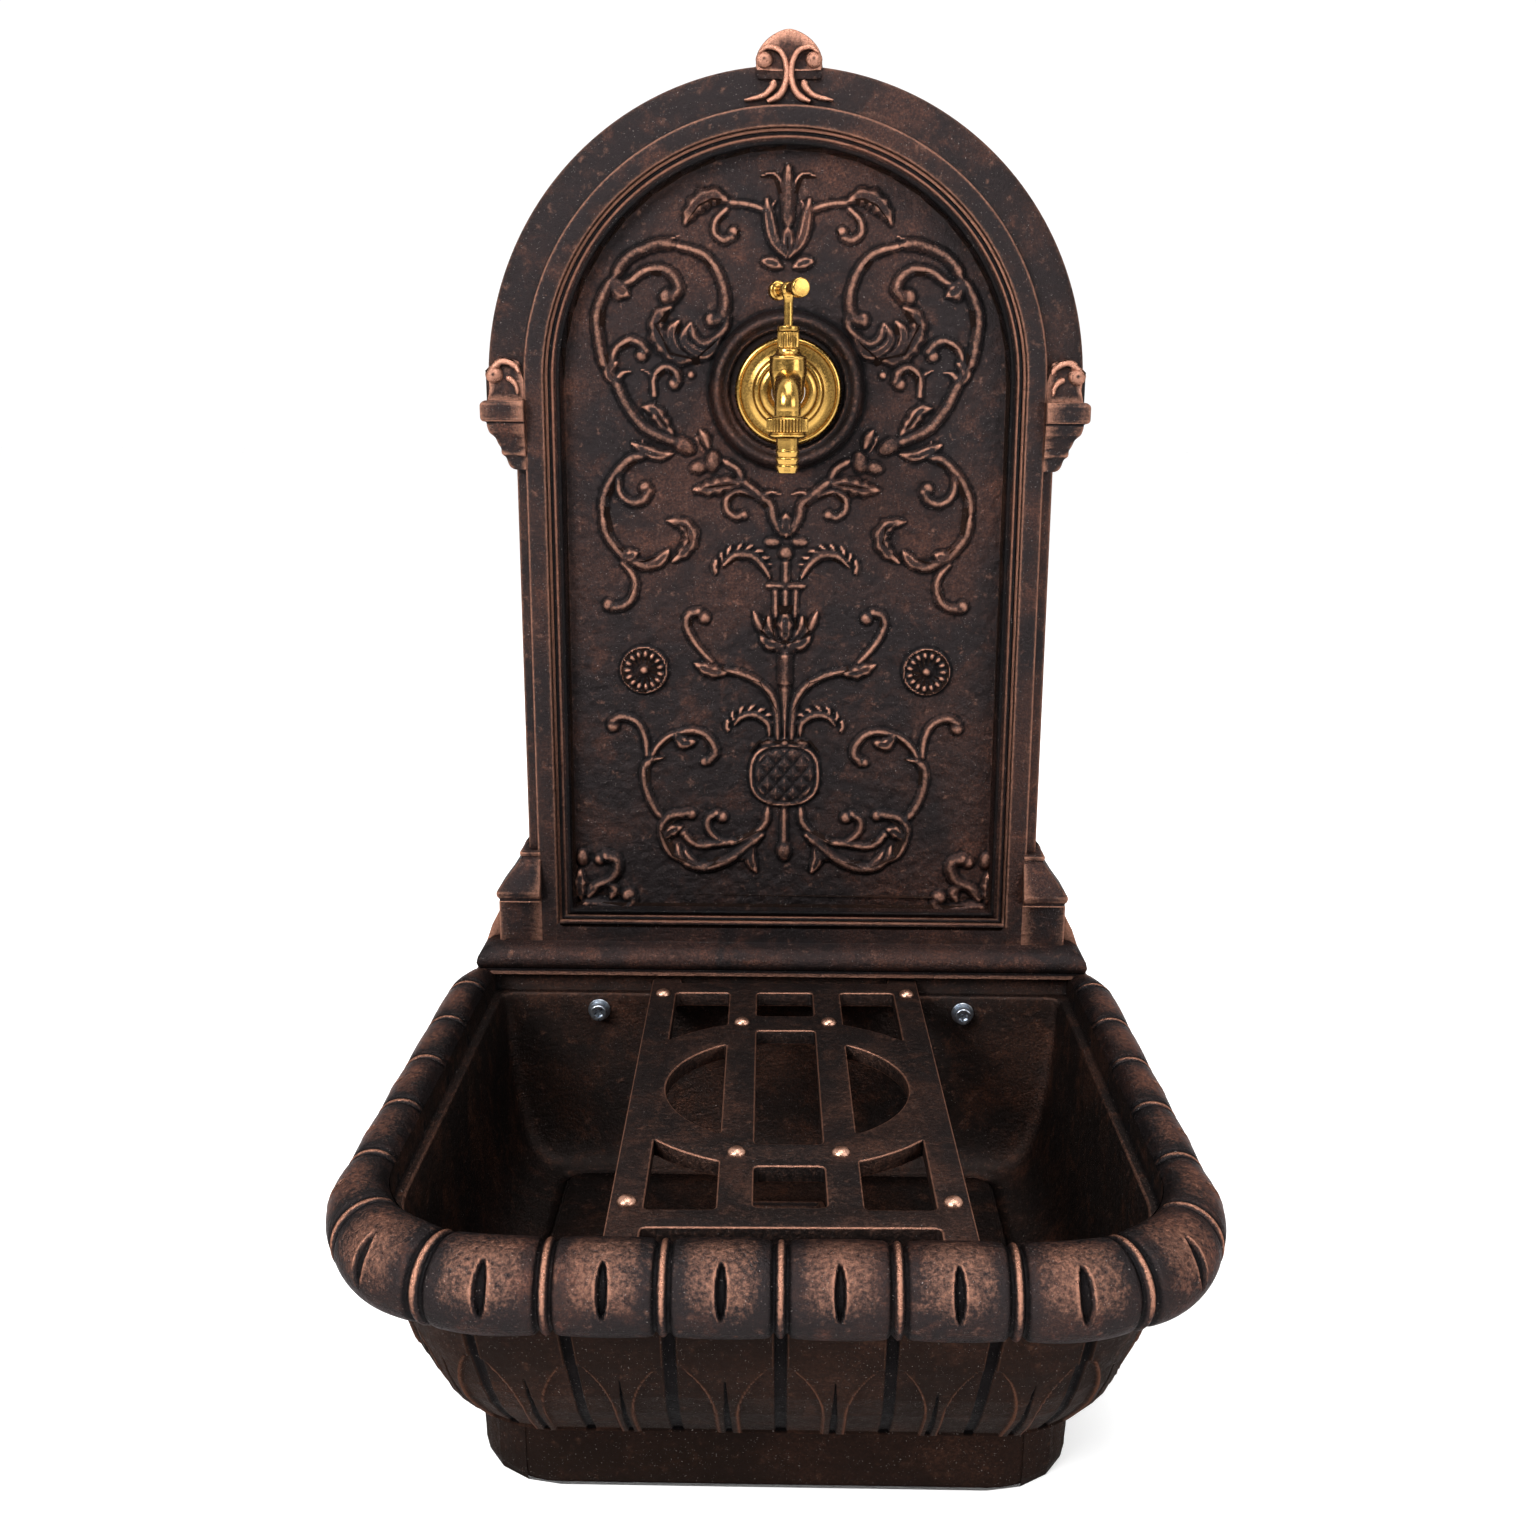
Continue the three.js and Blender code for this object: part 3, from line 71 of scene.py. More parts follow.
ROLL_CENTRE_OUT = 16.0
ROLL_CENTRE_DROP = 11.1
ROLL_SIDE_SHARE = 0.64
ROLL_END_RUN = 45.0
BEAD_PITCH = 49.3
SIDE_BEAD_PITCH = 55.3
BEAD_PATTERN_X = 3.5
BASIN_BACK = -13.0
LEDGE_DROP = 12.5
LEDGE_WIDTH = 6.0
BOWL_WALL = 9.5
BOWL_DEPTH = 125.0
FOOT_HALF_WIDTH = 153.0
FOOT_FRONT = -270.0
FOOT_HEIGHT = 40.0
FOOT_CORNER_RADIUS = 46.0
DRAIN_Y = -90.0
DRAIN_RADIUS = 20.0
SCREW_X = 115.0
SCREW_Z = RIM_TOP - 23.5
WASHER_SEAT = 19.3
WASHER_THICKNESS = 1.4
TAP_X = 2.2
TAP_Z = -4.0
BARREL_Y = -48.0
NOSE_Y = -75.0
HANDLE_BAR_Z = 51.1
HANDLE_BAR_TURN = math.radians(23)
GROUND = -FOOT_TO_ARCH_CENTRE

low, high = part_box("back_plate")
PLACE = np.array([
    (low.x + high.x) / 2 * 1000,
    high.y * 1000 - FIELD_TO_WALL,
    high.z * 1000 - ARCH_RADIUS - FINIAL_RISE,
])


# Meshes from points


def placed(points):
    return (np.asarray(points, float).reshape(-1, 3) + PLACE) / 1000


def smoothstep(value, start, end):
    t = np.clip((np.asarray(value, float) - start) / (end - start), 0, 1)
    return t * t * (3 - 2 * t)


def bump(distance, width):
    """A rounded hump, 1 in the middle and 0 at the given half-width."""
    return np.clip(1 - (np.asarray(distance, float) / width) ** 2, 0, 1) ** 1.5


def spline(points, steps):
    """A smooth line through points, as an array with steps places to each span."""
    p = np.asarray(points, float)
    p = np.vstack([2 * p[0] - p[1], p, 2 * p[-1] - p[-2]])
    line = []
    for i in range(1, len(p) - 2):
        t = np.linspace(0, 1, steps, endpoint=False)[:, None]
        a, b, c, d = p[i - 1], p[i], p[i + 1], p[i + 2]
        square = 2 * a - 5 * b + 4 * c - d
        cube = 3 * b - a - 3 * c + d
        line.append(0.5 * (2 * b + (c - a) * t + square * t**2 + cube * t**3))
    return np.vstack([*line, p[-2][None]])


def grid_faces(rows, columns, closed=False):
    """Quads between rows of equally many points; closed joins each row's end to its start."""
    r = np.arange(rows - 1)[:, None]
    c = np.arange(columns if closed else columns - 1)[None, :]
    d = (c + 1) % columns
    quads = np.stack([r * columns + c, r * columns + d, (r + 1) * columns + d, (r + 1) * columns + c], -1)
    return quads.reshape(-1, 4)


class Skin:
    """Points and faces gathered from several sheets into one mesh."""

    def __init__(self):
        self.points = []
        self.faces = []
        self.wear_and_highlight = []
        self.count = 0

    def add(self, points, faces, wear_and_highlight=None):
        points = np.asarray(points, float).reshape(-1, 3)
        self.points.append(points)
        if wear_and_highlight is not None:
            self.wear_and_highlight.append(np.asarray(wear_and_highlight, float).ravel())
        self.faces.extend([[int(i) + self.count for i in face] for face in faces])
        self.count += len(points)
        return self

    def rings(self, rings, closed=True, cap_first=False, cap_last=False, wear_and_highlight=None):
        """A sheet through rings of equally many points, with flat ends where asked."""
        rings = [np.asarray(ring, float) for ring in rings]
        columns = len(rings[0])
        faces = [list(face) for face in grid_faces(len(rings), columns, closed)]
        if cap_first:
            faces.append(list(range(columns))[::-1])
        if cap_last:
            start = (len(rings) - 1) * columns
            faces.append([start + i for i in range(columns)])
        return self.add(np.vstack(rings), faces, wear_and_highlight)


def mesh_arrays(mesh):
    """Points in millimetres, normals, the two ends of each edge and the number of edges at each point."""
    count = len(mesh.vertices)
    points = np.empty(count * 3)
    normals = np.empty(count * 3)
    ends = np.empty(len(mesh.edges) * 2, int)
    mesh.vertices.foreach_get("co", points)
    mesh.vertices.foreach_get("normal", normals)
    mesh.edges.foreach_get("vertices", ends)
    a, b = ends.reshape(-1, 2).T
    share = np.bincount(a, minlength=count) + np.bincount(b, minlength=count)
    return points.reshape(-1, 3) * 1000, normals.reshape(-1, 3), a, b, np.maximum(share, 1)


def edge_wear(mesh, size):
    """How sharply the surface bends outwards at each point, as -1 to 1, for edges size millimetres wide."""
    points, normals, a, b, share = mesh_arrays(mesh)
    step = points[b] - points[a]
    bend = ((normals[b] - normals[a]) * step).sum(1) / np.maximum((step**2).sum(1), 0.09)
    count = len(points)
    total = np.bincount(a, bend, count) + np.bincount(b, bend, count)
    return np.tanh(2 * total / share * size)


def crest_wear(mesh, rounds, reach):
    """How far each point stands proud of its surroundings, as -1 to 1, on an even grid."""
    points, normals, a, b, share = mesh_arrays(mesh)
    count = len(points)
    share = share[:, None]
    soft = points.copy()
    for _ in range(rounds):
        total = np.stack([
            np.bincount(a, soft[b, k], count) + np.bincount(b, soft[a, k], count) for k in range(3)
        ], 1)
        soft = 0.4 * soft + 0.6 * total / share
    return np.tanh(((points - soft) * normals).sum(1) / reach)


def mesh_of(name, skin, merge=0.00001, outwards=True):
    """A Blender mesh, with doubled points merged and faces turned outwards."""
    mesh = bpy.data.meshes.new(name)
    points = placed(np.vstack(skin.points))
    mesh.from_pydata(points.tolist(), [], skin.faces)
    if skin.wear_and_highlight:
        wear_and_highlight = mesh.attributes.new("rub", "FLOAT", "POINT")
        wear_and_highlight.data.foreach_set("value", np.concatenate(skin.wear_and_highlight).astype(np.float32))
    work = bmesh.new()
    work.from_mesh(mesh)
    bmesh.ops.remove_doubles(work, verts=work.verts, dist=merge)
    if outwards:
        bmesh.ops.recalc_face_normals(work, faces=work.faces)
    work.to_mesh(mesh)
    work.free()
    return mesh


def shade(mesh, angle=40):
    mesh.polygons.foreach_set("use_smooth", [True] * len(mesh.polygons))
    mesh.set_sharp_from_angle(angle=math.radians(angle))


def fit_out(name, mesh, material, replaced, slot, body="fountain", rounds=0, reach=0.8, angle=40):
    """The finished piece: smooth shading, the per-point rubbing mark, finish, and its place in the frame."""
    piece = bpy.data.objects.new(name, mesh)
    bpy.context.scene.collection.objects.link(piece)
    shade(mesh, angle)
    if "rub" not in mesh.attributes:
        worn_and_highlit = crest_wear(mesh, rounds, reach) if rounds else edge_wear(mesh, reach)
        wear_and_highlight = mesh.attributes.new("rub", "FLOAT", "POINT")
        wear_and_highlight.data.foreach_set("value", worn_and_highlit.astype(np.float32))
    mesh.materials.clear()
    mesh.materials.append(material)
    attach(piece, body)
    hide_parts(*replaced)
    return piece


# Finishes


class Socket:
    """One output of a node tree that can be used in sums."""

    def __init__(self, finish, link):
        self.finish = finish
        self.link = link

    def _sum(self, operation, first, second):
        return self.finish.node("ShaderNodeMath", {"operation": operation}, {0: first, 1: second})

    def __add__(self, other):
        return self._sum("ADD", self, other)

    def __radd__(self, other):
        return self._sum("ADD", other, self)

    def __sub__(self, other):
        return self._sum("SUBTRACT", self, other)

    def __rsub__(self, other):
        return self._sum("SUBTRACT", other, self)

    def __mul__(self, other):
        return self._sum("MULTIPLY", self, other)

    def __rmul__(self, other):
        return self._sum("MULTIPLY", other, self)


class Finish:
    """A material under construction."""

    def __init__(self, name, **settings):
        self.material = bpy.data.materials.new(name)
        self.material.use_nodes = True
        self.tree = self.material.node_tree
        self.tree.nodes.clear()
        self.shader = self.tree.nodes.new("ShaderNodeBsdfPrincipled")
        self.output = self.tree.nodes.new("ShaderNodeOutputMaterial")
        self.tree.links.new(self.shader.outputs["BSDF"], self.output.inputs["Surface"])
        for socket, value in settings.items():
            self.shader.inputs[socket.replace("_", " ")].default_value = value

    def node(self, kind, settings=None, sockets=None, output=0):
        """Any node: its settings first, then the values or links of its sockets."""
        made = self.tree.nodes.new(kind)
        for key, value in (settings or {}).items():
            if key == "stops":
                self._stops(made.color_ramp, value)
            else:
                setattr(made, key, value)
        for key, value in (sockets or {}).items():
            self.feed(made.inputs[key], value)
        return Socket(self, made.outputs[output])

    def _stops(self, ramp, stops):
        while len(ramp.elements) < len(stops):
            ramp.elements.new(0.5)
        for element, (place, value) in zip(ramp.elements, stops):
            element.position = place
            element.color = (value, value, value, 1) if isinstance(value, (int, float)) else (*value, 1)

    def feed(self, socket, value):
        if isinstance(value, Socket):
            self.tree.links.new(value.link, socket)
        else:
            socket.default_value = value

    def place(self):
        return self.node("ShaderNodeTexCoord", output="Object")

    def noise(self, scale, detail=4.0, roughness=0.55, distortion=0.0):
        return self.node("ShaderNodeTexNoise", {}, {
            "Vector": self.place(), "Scale": scale, "Detail": detail, "Roughness": roughness,
            "Distortion": distortion,
        })

    def between(self, value, start, end, low=0.0, high=1.0):
        return self.node("ShaderNodeMapRange", {"interpolation_type": "SMOOTHSTEP"}, {
            "Value": value, "From Min": start, "From Max": end, "To Min": low, "To Max": high,
        })

    def mix(self, share, first, second):
        """A blend of two colours, each a colour or a link."""
        made = self.tree.nodes.new("ShaderNodeMix")
        made.data_type = "RGBA"
        self.feed(made.inputs[0], share)
        for socket, value in ((made.inputs[6], first), (made.inputs[7], second)):
            self.feed(socket, value if isinstance(value, Socket) else (*value, 1))
        return Socket(self, made.outputs[2])

    def wear_and_highlight(self):
        return self.node("ShaderNodeAttribute", {"attribute_name": "rub"}, output="Fac")

    def finish(self, normal=None, **links):
        for socket, value in links.items():
            self.feed(self.shader.inputs[socket.replace("_", " ")], value)
        if normal is not None:
            self.feed(self.shader.inputs["Normal"], normal)
        return self.material

    def bumped(self, height, strength, distance):
        return self.node("ShaderNodeBump", {}, {"Height": height, "Strength": strength, "Distance": distance},
                         output="Normal")


EDGE_SHEEN = (0.3, 0.26, 0.26, 1)
CREVICE_BLACK = (0.005, 0.005, 0.0055)
# Colour of the painted glints: pale dots that stand in for light catching the sand-cast grain.
PAINTED_GLINT = (0.5, 0.43, 0.4)


def patina(name, ground, blush, copper, wear_from, wear_to, grain=0.7, shine=0.42, scatter=0.5, metal=0.85,
           gloss=0.4):
    """Sand-cast metal with a near-black patina, red-brown patches and copper bared by the rubbing of hands
    and cloths; the same copper paints the rim roll's highlight, and pale dots paint glints on the grain.
    """
    look = Finish(name, Specular_IOR_Level=gloss, Specular_Tint=EDGE_SHEEN)
    clouds = look.between(look.noise(14, 5, 0.6, 0.4), 0.42, 0.68)
    patches = look.between(look.noise(55, 6, 0.65, 0.6), 0.5, 0.72)
    mottle = look.noise(320, 5, 0.75)
    sand = look.noise(680, 4, 0.7)
    wear_and_highlight = look.wear_and_highlight()
    # Copper mask: copper bared by rubbing on crests and edges, and on the rim roll also its painted
    # highlight.
    rubbed_and_highlit = look.between(wear_and_highlight + (mottle - 0.5) * scatter + (sand - 0.5) * scatter, wear_from, wear_to)
    hollow = look.between(wear_and_highlight, -0.08, -0.55)
    bloom = look.between(look.noise(150, 5, 0.7), 0.57, 0.78)
    grit = look.between(look.noise(620, 5, 0.75), 0.42, 0.62)
    base = look.mix((clouds * 0.5 + patches * 0.6) * (grit * 0.8 + 0.25), ground, blush)
    base = look.mix(bloom * 0.3 * (1 - hollow), base, copper)
    base = look.mix(rubbed_and_highlit, base, copper)
    base = look.mix(hollow * 0.85, base, CREVICE_BLACK)
    # Painted glints: tiny pale dots mixed into the base colour where the grain would catch the light.
    painted_glints = look.between(look.noise(1500, 2, 0.5), 0.71, 0.75)
    base = look.mix(painted_glints * 0.6, base, PAINTED_GLINT)
    rough = look.between(mottle, 0.3, 0.7, shine - 0.04, shine + 0.16) - rubbed_and_highlit * 0.08
    height = mottle * 0.55 + sand * 0.45
    shade_of_metal = rubbed_and_highlit * (0.95 - metal) + metal
    return look.finish(look.bumped(height, grain, 0.0016), Base_Color=base, Roughness=rough,
                       Metallic=shade_of_metal)


def polished_brass(name):
    look = Finish(name, Metallic=1.0)
    wear_and_highlight = look.wear_and_highlight()
    tarnish = look.between(look.noise(90, 4, 0.6), 0.5, 0.75)
    hollow = look.between(wear_and_highlight, -0.05, -0.6)
    base = look.mix(tarnish * 0.4, (0.45, 0.265, 0.07), (0.26, 0.145, 0.036))
    base = look.mix(hollow * 0.8, base, (0.07, 0.036, 0.012))
    scratches = look.noise(700, 3, 0.6)
    rough = look.between(scratches, 0.3, 0.7, 0.17, 0.3) + hollow * 0.2
    return look.finish(look.bumped(scratches, 0.08, 0.0003), Base_Color=base, Roughness=rough)


def zinc_plate(name):
    look = Finish(name, Metallic=1.0)
    clouds = look.between(look.noise(300, 3, 0.6), 0.4, 0.7)
    hollow = look.between(look.wear_and_highlight(), -0.05, -0.6)
    base = look.mix(clouds, (0.4, 0.45, 0.52), (0.6, 0.63, 0.66))
    base = look.mix(hollow * 0.8, base, (0.03, 0.035, 0.045))
    rough = look.between(look.noise(500, 2, 0.5), 0.3, 0.7, 0.26, 0.4)
    return look.finish(None, Base_Color=base, Roughness=rough)


BLACK_PATINA = (0.019, 0.0155, 0.0158)
RED_BROWN = (0.105, 0.045, 0.031)
COPPER = (0.36, 0.175, 0.118)
RELIEF_COPPER = (0.44, 0.215, 0.148)
BODY_BROWN = (0.0105, 0.0065, 0.0052)
BODY_RUST = (0.036, 0.0165, 0.011)
BODY_COPPER = (0.1, 0.046, 0.029)
GRATE_RUST = (0.11, 0.052, 0.036)
INSIDE_RUST = (0.13, 0.055, 0.034)
STUD_RUST = (0.13, 0.065, 0.048)
STUD_COPPER = (0.5, 0.28, 0.2)
casting = patina("patina_casting", BLACK_PATINA, RED_BROWN, COPPER, 0.3, 1.05, 0.95, 0.36)
relief_metal = patina("patina_relief", BLACK_PATINA, RED_BROWN, RELIEF_COPPER, 0.28, 0.92, 0.9, 0.33)
roll_metal = patina("patina_roll", BLACK_PATINA, RED_BROWN, COPPER, 0.2, 1.1, 0.9, 0.3, 0.95, 0.85, 0.35)
grate_metal = patina("patina_grate", (0.024, 0.0185, 0.0175), GRATE_RUST, COPPER, 0.18, 0.85, 0.8, 0.38)
body_metal = patina("patina_bowl", BODY_BROWN, BODY_RUST, BODY_COPPER, 0.15, 0.9, 0.5, 0.6, 0.4, 0.2, 0.02)
inside_metal = patina("patina_inside", (0.022, 0.0165, 0.015), INSIDE_RUST, COPPER, 0.25, 0.95, 0.9, 0.38)
stud_metal = patina("patina_rubbed", (0.05, 0.035, 0.03), STUD_RUST, STUD_COPPER, 0.1, 0.9, 0.3, 0.3)
brass = polished_brass("brass_polished")
zinc = zinc_plate("zinc_plated")

CAST = {"replaced": ("back_plate",), "slot": "bronze"}
BOWL = {"replaced": ("basin",), "slot": "bronze"}


# Relief of the field. Each stroke of the left half is (kind, width, points); the right half mirrors it.
# stem keeps its width, taper runs out to a point, hook swells to its end, leaf is widest in the middle,
# frond is a leaf with a comb of leaflets along one side.

PALMETTE = [
    ("leaf", 5.5, ((1, 122), (1, 105), (1, 87))),
    ("taper", 4.5, ((0.5, 89), (-1.5, 105), (-3, 113), (-8, 117.5), (-15, 115.5))),
    ("leaf", 6, ((1, 71), (-6, 80), (-9, 90), (-11, 104))),
    ("taper", 4, ((-8, 92), (-9, 97), (-5.5, 103.5))),
    ("stem", 3.6, ((-10, 97), (-22, 100.5), (-34, 101.5))),
    ("leaf", 8.5, ((-33, 102), (-40, 105), (-48, 103), (-55, 96), (-58, 90))),
    ("hook", 4, ((-34, 98), (-40, 92), (-41, 85), (-36, 81), (-31, 82.5))),
    ("leaf", 7.5, ((1.3, 88), (1.3, 80), (1.3, 72.5))),
    ("leaf", 6, ((-2, 66), (-8, 68.5), (-14, 69.5))),
]
GREAT_SCROLL = [
    ("stem", 5.5, ((-63, -34), (-80, -27), (-87, -21), (-94, -11), (-98, -2), (-101, 4))),
    ("leaf", 6, ((-101, 0), (-103.5, 8), (-98, 13))),
    ("taper", 5, ((-99, 3), (-95, 6.5), (-91, 7))),
    ("stem", 5.5, ((-104, 8), (-107, 14), (-109, 25), (-110, 38), (-107, 48), (-103, 55), (-99, 60))),
    ("stem", 5.5, ((-99, 60), (-96, 66), (-90, 72), (-82, 76), (-72, 79), (-64, 78))),
    ("taper", 5, ((-78, 76), (-70, 80), (-62, 83))),
    ("hook", 5.5, ((-62, 77.5), (-52, 75), (-45, 71), (-39, 63), (-35.5, 53), (-35, 44), (-38, 37),
                   (-43, 36))),
    ("stem", 4.5, ((-34, 42), (-35, 32), (-42, 25), (-48, 23), (-53, 27), (-55, 34))),
    ("leaf", 8.5, ((-66, 44), (-72, 41), (-75, 35), (-74, 27), (-68, 19), (-60, 14), (-52, 15.5))),
    ("leaf", 6.5, ((-62, 36), (-66, 31), (-66, 24), (-62, 18), (-56, 15.5))),
    ("leaf", 6, ((-55, 35), (-58, 30), (-59, 25), (-55, 20), (-48, 17), (-42, 20), (-37, 28))),
    ("leaf", 9, ((-99, 59), (-97, 54), (-91, 50))),
    ("hook", 5.2, ((-97, 55), (-90, 58), (-82, 63.5), (-72, 65), (-65, 61), (-62, 54), (-66, 49))),
    ("hook", 4.5, ((-101, 5), (-101, 15), (-98, 21), (-91, 25), (-85, 23), (-82, 19))),
    ("leaf", 7, ((-66, -29), (-72, -22), (-77, -15), (-84, -13))),
    ("taper", 4.5, ((-74, -20), (-77, -15), (-76.5, -10))),
    ("hook", 4.5, ((-77, -6), (-77, 3), (-74, 8), (-69, 10), (-64, 7), (-63, 2))),
    ("taper", 3, ((-77, 4), (-81, 7), (-86, 9))),
]
KNOT_AND_LOWER_SCROLL = [
    ("leaf", 5, ((-50, -26), (-47, -31), (-45, -37))),
    ("taper", 3, ((-52, -30), (-51, -34), (-48, -39))),
    ("leaf", 6, ((-66, -40), (-75, -41), (-83, -38), (-91, -34))),
    ("taper", 4, ((-78, -40), (-83, -36), (-85, -31))),
    ("stem", 5, ((-82, -41), (-91, -43), (-98, -49), (-104, -57), (-108, -66), (-109, -76))),
    ("stem", 5, ((-109, -76), (-107, -87), (-102, -95), (-96, -101), (-89, -105), (-82, -107), (-74, -104))),
    ("leaf", 6, ((-84, -106), (-76, -104.5), (-69, -97))),
    ("leaf", 7.5, ((-67, -104), (-60, -98), (-56, -91), (-57, -85), (-62, -81), (-70, -79.5))),
    ("leaf", 7, ((-99, -99), (-94, -101), (-88, -98.5))),
    ("hook", 4.8, ((-99, -50), (-99, -60), (-96, -66), (-90, -69), (-84, -67), (-81, -62))),
    ("hook", 4.8, ((-97, -105), (-92, -111), (-90, -118), (-92, -126), (-97, -131), (-104, -132))),
    ("stem", 4, ((-36, -44), (-28, -49), (-25, -56))),
    ("leaf", 8, ((-54, -61), (-45, -60.5), (-35, -58), (-24, -57))),
    ("stem", 5, ((-26, -55), (-18, -61), (-12, -66), (-8, -70), (-6, -78), (-1, -87))),
    ("taper", 4.5, ((-14, -65), (-8, -62.5), (-2, -63.5))),
    ("hook", 4, ((-12, -68), (-20, -63.5), (-28, -62), (-34, -66), (-34, -73), (-29, -77), (-24, -75.5))),
    ("leaf", 7.5, ((1.3, -75), (1.3, -83), (1.3, -89))),
]
CANDELABRUM = [
    ("stem", 4, ((1.3, -103), (1.3, -117))),
    ("stem", 3.4, ((1.3, -118.5), (-10, -118.5))),
    ("stem", 3.6, ((1.3, -120), (1.3, -137))),
    ("stem", 3.2, ((-5, -120), (-4.5, -137))),
    ("frond", 5, ((-8, -114), (-12, -107), (-18, -101), (-25, -99.5), (-31, -101), (-37, -107))),
    ("leaf", 8, ((1.3, -134), (1.3, -144), (1.3, -153))),
    ("leaf", 5, ((-9, -136.5), (-8, -144), (-3, -151))),
    ("leaf", 5, ((-18, -134), (-14, -143), (-6, -151))),
    ("leaf", 7, ((-14, -149), (-8, -153.5), (1.3, -155))),
    ("stem", 4, ((1.3, -157.5), (-5, -157.5))),
    ("stem", 6.5, ((1.3, -159), (1.3, -180))),
    ("taper", 6, ((1.3, -178), (1.3, -196), (1.3, -216))),
    ("stem", 4.2, ((-3, -213), (-3.5, -200), (-5, -190), (-10, -182), (-18, -176), (-28, -172), (-40, -170))),
    ("leaf", 7, ((-34, -172), (-43, -171), (-54, -166.5))),
    ("hook", 4.6, ((-44, -165), (-52, -156), (-57, -148), (-59, -141), (-57, -136), (-52, -134.5))),
    ("frond", 4.6, ((-8, -212), (-9, -204), (-14, -199.5), (-20, -198), (-26, -200), (-30, -205))),
]
VASE_AND_FOOT = [
    ("hook", 4.4, ((1.3, -257), (1.3, -266), (1.3, -276), (1.3, -284))),
    ("stem", 4, ((-9, -258), (-10, -266), (-14, -272), (-20, -277), (-28, -279.5))),
    ("stem", 4.4, ((-28, -280), (-40, -281), (-50, -282.5), (-57, -280), (-62, -274))),
    ("hook", 4.4, ((-33, -280.5), (-40, -278.5), (-46, -272), (-46, -265), (-41, -261.5))),
    ("stem", 5.6, ((-13, -275), (-20, -281), (-28, -288), (-36, -293), (-46, -296.5), (-55, -296),
                   (-63, -292))),
    ("hook", 5, ((-63, -292), (-70, -288), (-74, -281), (-75.5, -273), (-74, -267), (-69, -263),
                 (-59, -261.5))),
    ("leaf", 7, ((-74, -278), (-70, -273), (-63, -270.5))),
    ("leaf", 4.5, ((-58, -295), (-64, -290), (-66, -282))),
    ("leaf", 4.5, ((-51, -297), (-58, -291), (-61.5, -285))),
    ("leaf", 6, ((-18, -281), (-20, -290), (-16, -300))),
    ("leaf", 4.5, ((-18, -283), (-22, -288), (-27, -292))),
    ("stem", 4.6, ((-75, -265), (-80, -258), (-84, -249), (-86, -240), (-85.5, -232), (-81, -226))),
    ("taper", 4.5, ((-85, -232), (-80, -227), (-73, -226.5))),
    ("hook", 4.6, ((-84, -224), (-85, -214), (-88, -206), (-93, -201.5), (-100, -200), (-105, -203))),
    ("hook", 4.6, ((-81, -224), (-77, -218), (-71, -212.5), (-63, -209.5), (-55, -208.5), (-48, -211),
                   (-43, -217), (-42, -223), (-46, -228))),
    ("leaf", 7, ((-67, -210), (-61, -216), (-54, -215))),
]
CORNER_SPRAY = [
    ("hook", 6, ((-122, -316), (-116, -309), (-108, -305), (-104, -298), (-105, -292), (-111, -290))),
    ("leaf", 7, ((-127.5, -299), (-128, -310), (-127, -319))),
    ("stem", 5, ((-122, -313), (-116, -308.5), (-110, -308), (-106, -312), (-108, -317))),
    ("stem", 5.4, ((-126, -321.5), (-120, -321), (-113, -322.5), (-108, -324))),
    ("hook", 5.6, ((-109, -322), (-100, -324), (-95, -320), (-97, -315))),
]
# Balls and buds as (x, z, half-length, half-width, turn in degrees)
BUDS = [
    (-30, 85.5, 3.2, 3.2, 0), (-43, 37, 3.8, 3.8, 0), (-69, 49.5, 4.4, 4.4, 0), (-84, 16.5, 3.6, 3.6, 0),
    (-65, 0.5, 3.6, 3.6, 0), (-55, 5.5, 2.3, 2.3, 0), (-59.5, -35.5, 6.8, 4.6, -30),
    (-51, -48, 5.4, 3.7, 10), (-42.5, -44.5, 6.2, 4.2, 80), (-83, -60, 3.6, 3.6, 0),
    (-106, -130.5, 3.8, 3.8, 0), (-24, -76, 2.8, 2.8, 0), (-7, -92, 5, 3, 0), (1.3, -98.5, 4.2, 4.2, 0),
    (-48, -138, 3.8, 3.8, 0), (1.3, -285.5, 6.6, 4.4, 90), (-37.5, -263.5, 3.8, 3.8, 0),
    (-57, -262, 3.6, 3.6, 0), (-105, -206, 3.8, 3.8, 0), (-48, -228, 3.2, 3.2, 0),
    (-126, -291, 5.4, 3.8, 90), (-114.5, -292, 4, 4, 0), (-97, -315.5, 4.5, 4.5, 0), (-9, -216, 5, 3, 10),
    (1.3, -216, 3.2, 3.2, 0), (-6.5, -253, 4, 3, 20), (1.3, -255, 3.2, 3, 0), (-62, -274.5, 2.6, 2.6, 0),
]
VASE_MIDDLE = -236.0
VASE_HALF = (22.5, 20.5)
ROSETTE = (86.5, -170.5, 15.0)
PETALS = 15
BOSS = (-3.3, 45.5, 11.0)
FIELD_STEP = 1.07
STROKE_SWELL = 1.22


def width_along(kind, t):
    if kind == "leaf":
        return 0.18 + 0.82 * np.sin(np.pi * np.clip(t, 0, 1)) ** 0.7
    if kind == "taper":
        return (1 - 0.85 * t) * smoothstep(t, -0.1, 0.12)
    if kind == "hook":
        return 0.72 + 0.38 * t
    return 1 - 0.35 * smoothstep(t, 0.9, 1) - 0.35 * smoothstep(t, 0.1, 0)


def rounded_union(first, second, blend=1.1):
    """The larger of two heights, with a small fillet where they cross."""
    overlap = np.clip(0.5 + 0.5 * (first - second) / blend, 0, 1)
    return second + (first - second) * overlap + blend * overlap * (1 - overlap) * 0.5


